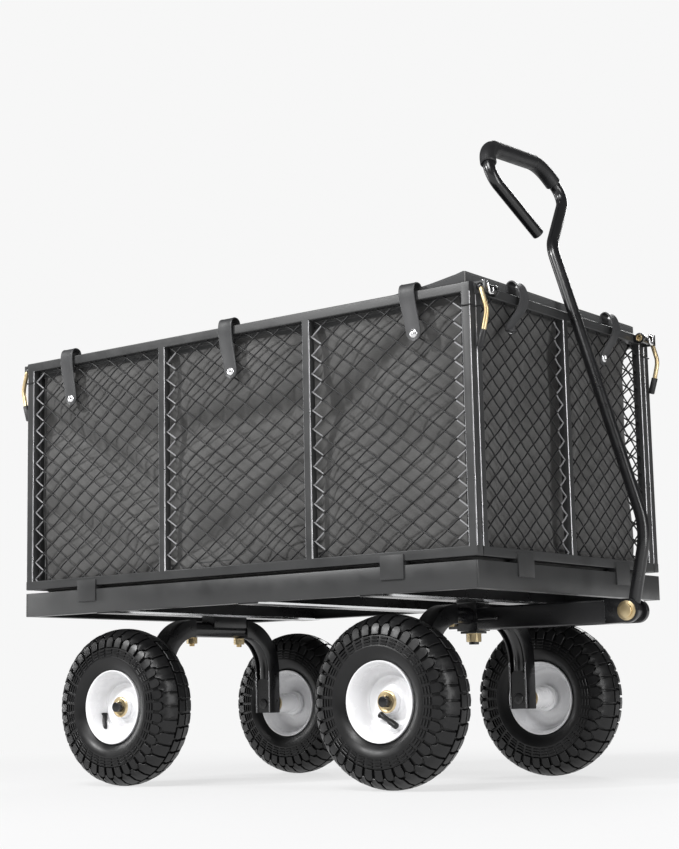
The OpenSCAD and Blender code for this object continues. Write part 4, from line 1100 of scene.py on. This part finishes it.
def strap(name, origin, along, outward, path, lean, snap, low_width=25 * MM, top_width=28 * MM):
    """Strap sewn to the rim tape that loops over the rail and hangs outside the mesh, with its snap."""
    along, outward = np.array(along), np.array(outward)
    line = smooth_path(np.array(path) * MM, 7)
    run = run_along(line)
    left = run[-1] - run
    down = ease(1 - left / (80 * MM))
    width = top_width + (low_width - top_width) * down
    r = width / 2
    width = np.where(left < r, 2 * np.sqrt(np.maximum(r * r - (r - left) ** 2, 0.3e-6)), width)
    p = np.array(origin) + along * (lean * down)[:, None] + outward * line[:, :1] + UP * line[:, 1:]
    flow = np.gradient(p, axis=0)
    flow /= np.linalg.norm(flow, axis=1)[:, None]
    face = np.cross(along, flow)
    face *= -1 if face[len(face) // 2] @ outward < 0 else 1
    face /= np.linalg.norm(face, axis=1)[:, None]
    piece(name, ribbon(p, along, face, width[:, None], STRAP_T, STRAP_SECTION), "strap", "cart", 50)
    k = int(np.argmin(np.abs(left - SNAP_UP)))
    fastener(name + "_snap", [spun(snap)], p[k] + face[k] * STRAP_FACE * STRAP_T, face[k], "snap")
    fastener(name + "_stud", [spun(STUD, 32)], p[k] - face[k] * 0.5 * STRAP_T, -face[k], "snap")


for hand, side in (("left", 1), ("right", -1)):
    for place, x, drop, snap in (("rear", -363 * MM, 88, RING_SNAP), ("middle", 0, 88, RING_SNAP),
                                 ("front", 357 * MM, 77, DOMED_SNAP)):
        strap("strap_" + hand + "_" + place, (BED_X + x, side * HALF_W, PANEL_TOP), (1, 0, 0), (0, side, 0),
              SIDE_HANG + [(3.0, -drop)], 11 * MM, snap)
for hand, end in (("front", 1), ("rear", -1)):
    strap("strap_" + hand + "_right", (BED_X + end * HALF_L, -136 * MM, PANEL_TOP), (0, 1, 0), (end, 0, 0),
          CURLED_HANG + [(23, -63.2)], -54 * MM, DOMED_SNAP, 20 * MM, 25 * MM)
    strap("strap_" + hand + "_left", (BED_X + end * HALF_L, 157 * MM, PANEL_TOP), (0, 1, 0), (end, 0, 0),
          END_HANG + [(3.2, -72)], -46 * MM, RING_SNAP if end > 0 else DOMED_SNAP, 22 * MM, 25 * MM)
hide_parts("liner_straps", "strap_snaps")


# ---- Latches

LATCH_Z = PANEL_TOP - 9 * MM
# Lines in millimetres: outwards from the end and the side of the bed, and up from the middle of the latch
ROD = (12, -49, 0), (13, -11, 0), (23, -11, -36), (16, -11, -64), (11, -11, -80)
CLIP = (13, -17.5, 10), (20.5, -18, 6), (20.5, -23, -9), (20.5, -33, -7), (20, -33, 1)
KEEPER = (-16, 1.3, -26), (1.3, 1.3, -26.5), (1.3, -17, -27), (1.3, -31, -24)
SLEEVE = [(3.6, 0), (4.9, 0), (5.2, 0.5), (5.2, 25.5), (4.8, 26.6), (3.4, 27.1), (0, 27.2), (0, 24),
          (3.6, 24)]
KNOB = [(0, 8.6)] + [(6.8 * math.sin(a), 2 + 6.6 * math.cos(a)) for a in np.radians(range(12, 91, 13))]
KNOB += [(6.8, 0.6), (6.2, 0), (0, 0)]
COLLAR = [(3.4, -1), (3.4, 0.6), (3.9, 1.4), (4.8, 1.6), (5.6, 1.4), (5.9, 0.6), (5.9, -1)]
for end_name, end in (("front", 1), ("rear", -1)):
    for hand, side in (("left", 1), ("right", -1)):
        name = end_name + "_" + hand
        body = NODE_BODY["latch_pin_" + name]

        def at(x, y, z):
            return Vector((BED_X + end * (HALF_L + x * MM), side * (HALF_W + y * MM), LATCH_Z + z * MM))

        rod = rounded_path([at(*p) for p in ROD], [5.5 * MM, 34 * MM, 30 * MM], math.radians(5))
        piece("latch_rod_" + name, tube(rod, 3.7 * MM, 24), "brass", body, 40, ["latch_pin_" + name])
        tip, top = at(8, -11, -90), at(16, -11, -64)
        fastener("latch_sleeve_" + name, [spun(SLEEVE, 32)], top, (tip - top).normalized(), "foam", body)
        fastener("latch_knob_" + name, [spun(KNOB, 32)], at(11, -16.5, 0.5), (0, side, 0), "gloss_black",
                 body)
        for which, y, facing in (("in_", -51, -side), ("out_", -21, side)):
            fastener("latch_ring_" + which + name, [spun(COLLAR)], at(11, y, 0), (0, facing, 0), "brass")
        clip = rounded_path([at(*p) for p in CLIP], [3 * MM, 4 * MM, 3.5 * MM])
        piece("latch_clip_" + name, tube(clip, 2.2 * MM, 14), "snap", "cart", 50)
        keeper = rounded_path([at(*p) for p in KEEPER], [2.2 * MM, 1.5 * MM])
        piece("latch_keeper_" + name, tube(keeper, 1.1 * MM, 10), "gloss_black", "cart", 50, material=WIRE)


# ---- Handle

TUBE_R = 9.5 * MM
LOWER_LEAN, LOWER_LENGTH = math.radians(12.9), 124.7 * MM
UPPER_LEAN, UPPER_LENGTH = math.radians(17.1), 485 * MM
foot = PIVOT + Vector((math.sin(LOWER_LEAN), 0, math.cos(LOWER_LEAN))) * 12.8 * MM
first_bend = PIVOT + Vector((math.sin(LOWER_LEAN), 0, math.cos(LOWER_LEAN))) * LOWER_LENGTH
STEM = Vector((-math.sin(UPPER_LEAN), 0, math.cos(UPPER_LEAN)))
stem_top = first_bend + STEM * UPPER_LENGTH
LOOP = [stem_top + Vector((0, y * MM, 0)) + STEM * s * MM
        for y, s in ((0, 0), (107, 115), (54, 166), (-113, 155), (-131, 98), (-34, 16))]
LOOP_BENDS = [50 * MM, 29 * MM, 66 * MM, 42 * MM, 34 * MM]
handle_line = rounded_path([foot, first_bend] + LOOP, [120 * MM] + LOOP_BENDS, math.radians(4))
piece("handle_bent_tube", tube(handle_line, TUBE_R, 28), "gloss_black", "handle", 40, ["handle_tube"])

GRIP_R, GRIP_END_R, GRIP_ROUND = 13 * MM, 11.6 * MM, 1.6 * MM
grip_start = LOOP[1] + (LOOP[2] - LOOP[1]).normalized() * 30 * MM
grip_end = LOOP[3] + (LOOP[4] - LOOP[3]).normalized() * 36.5 * MM
grip_line = rounded_path([grip_start, LOOP[2], LOOP[3], grip_end], LOOP_BENDS[2:4], math.radians(4))
grip_line = smooth_path(grip_line, 2)
first, last = (end + (near - end) / np.linalg.norm(near - end) * GRIP_ROUND
               for end, near in (grip_line[:2], grip_line[:-3:-1]))
line = [grip_line[0], first, *grip_line[1:-1], last, grip_line[-1]]
piece("foam_grip_sleeve", tube(line, [GRIP_END_R] + [GRIP_R] * (len(line) - 2) + [GRIP_END_R], 32), "foam",
      "handle", 40, ["foam_grip"])

limb = (LOOP[5] - LOOP[4]).normalized()
plug = [(0, 0), (9.4, 0), (9.5, 0.4), (9.5, 2.2), (9.0, 2.9), (0, 3.0)]
fastener("handle_end_plug", [spun(plug)], LOOP[5] - limb * 0.3 * MM, limb, "foam", "handle",
         ["handle_end_cap"])
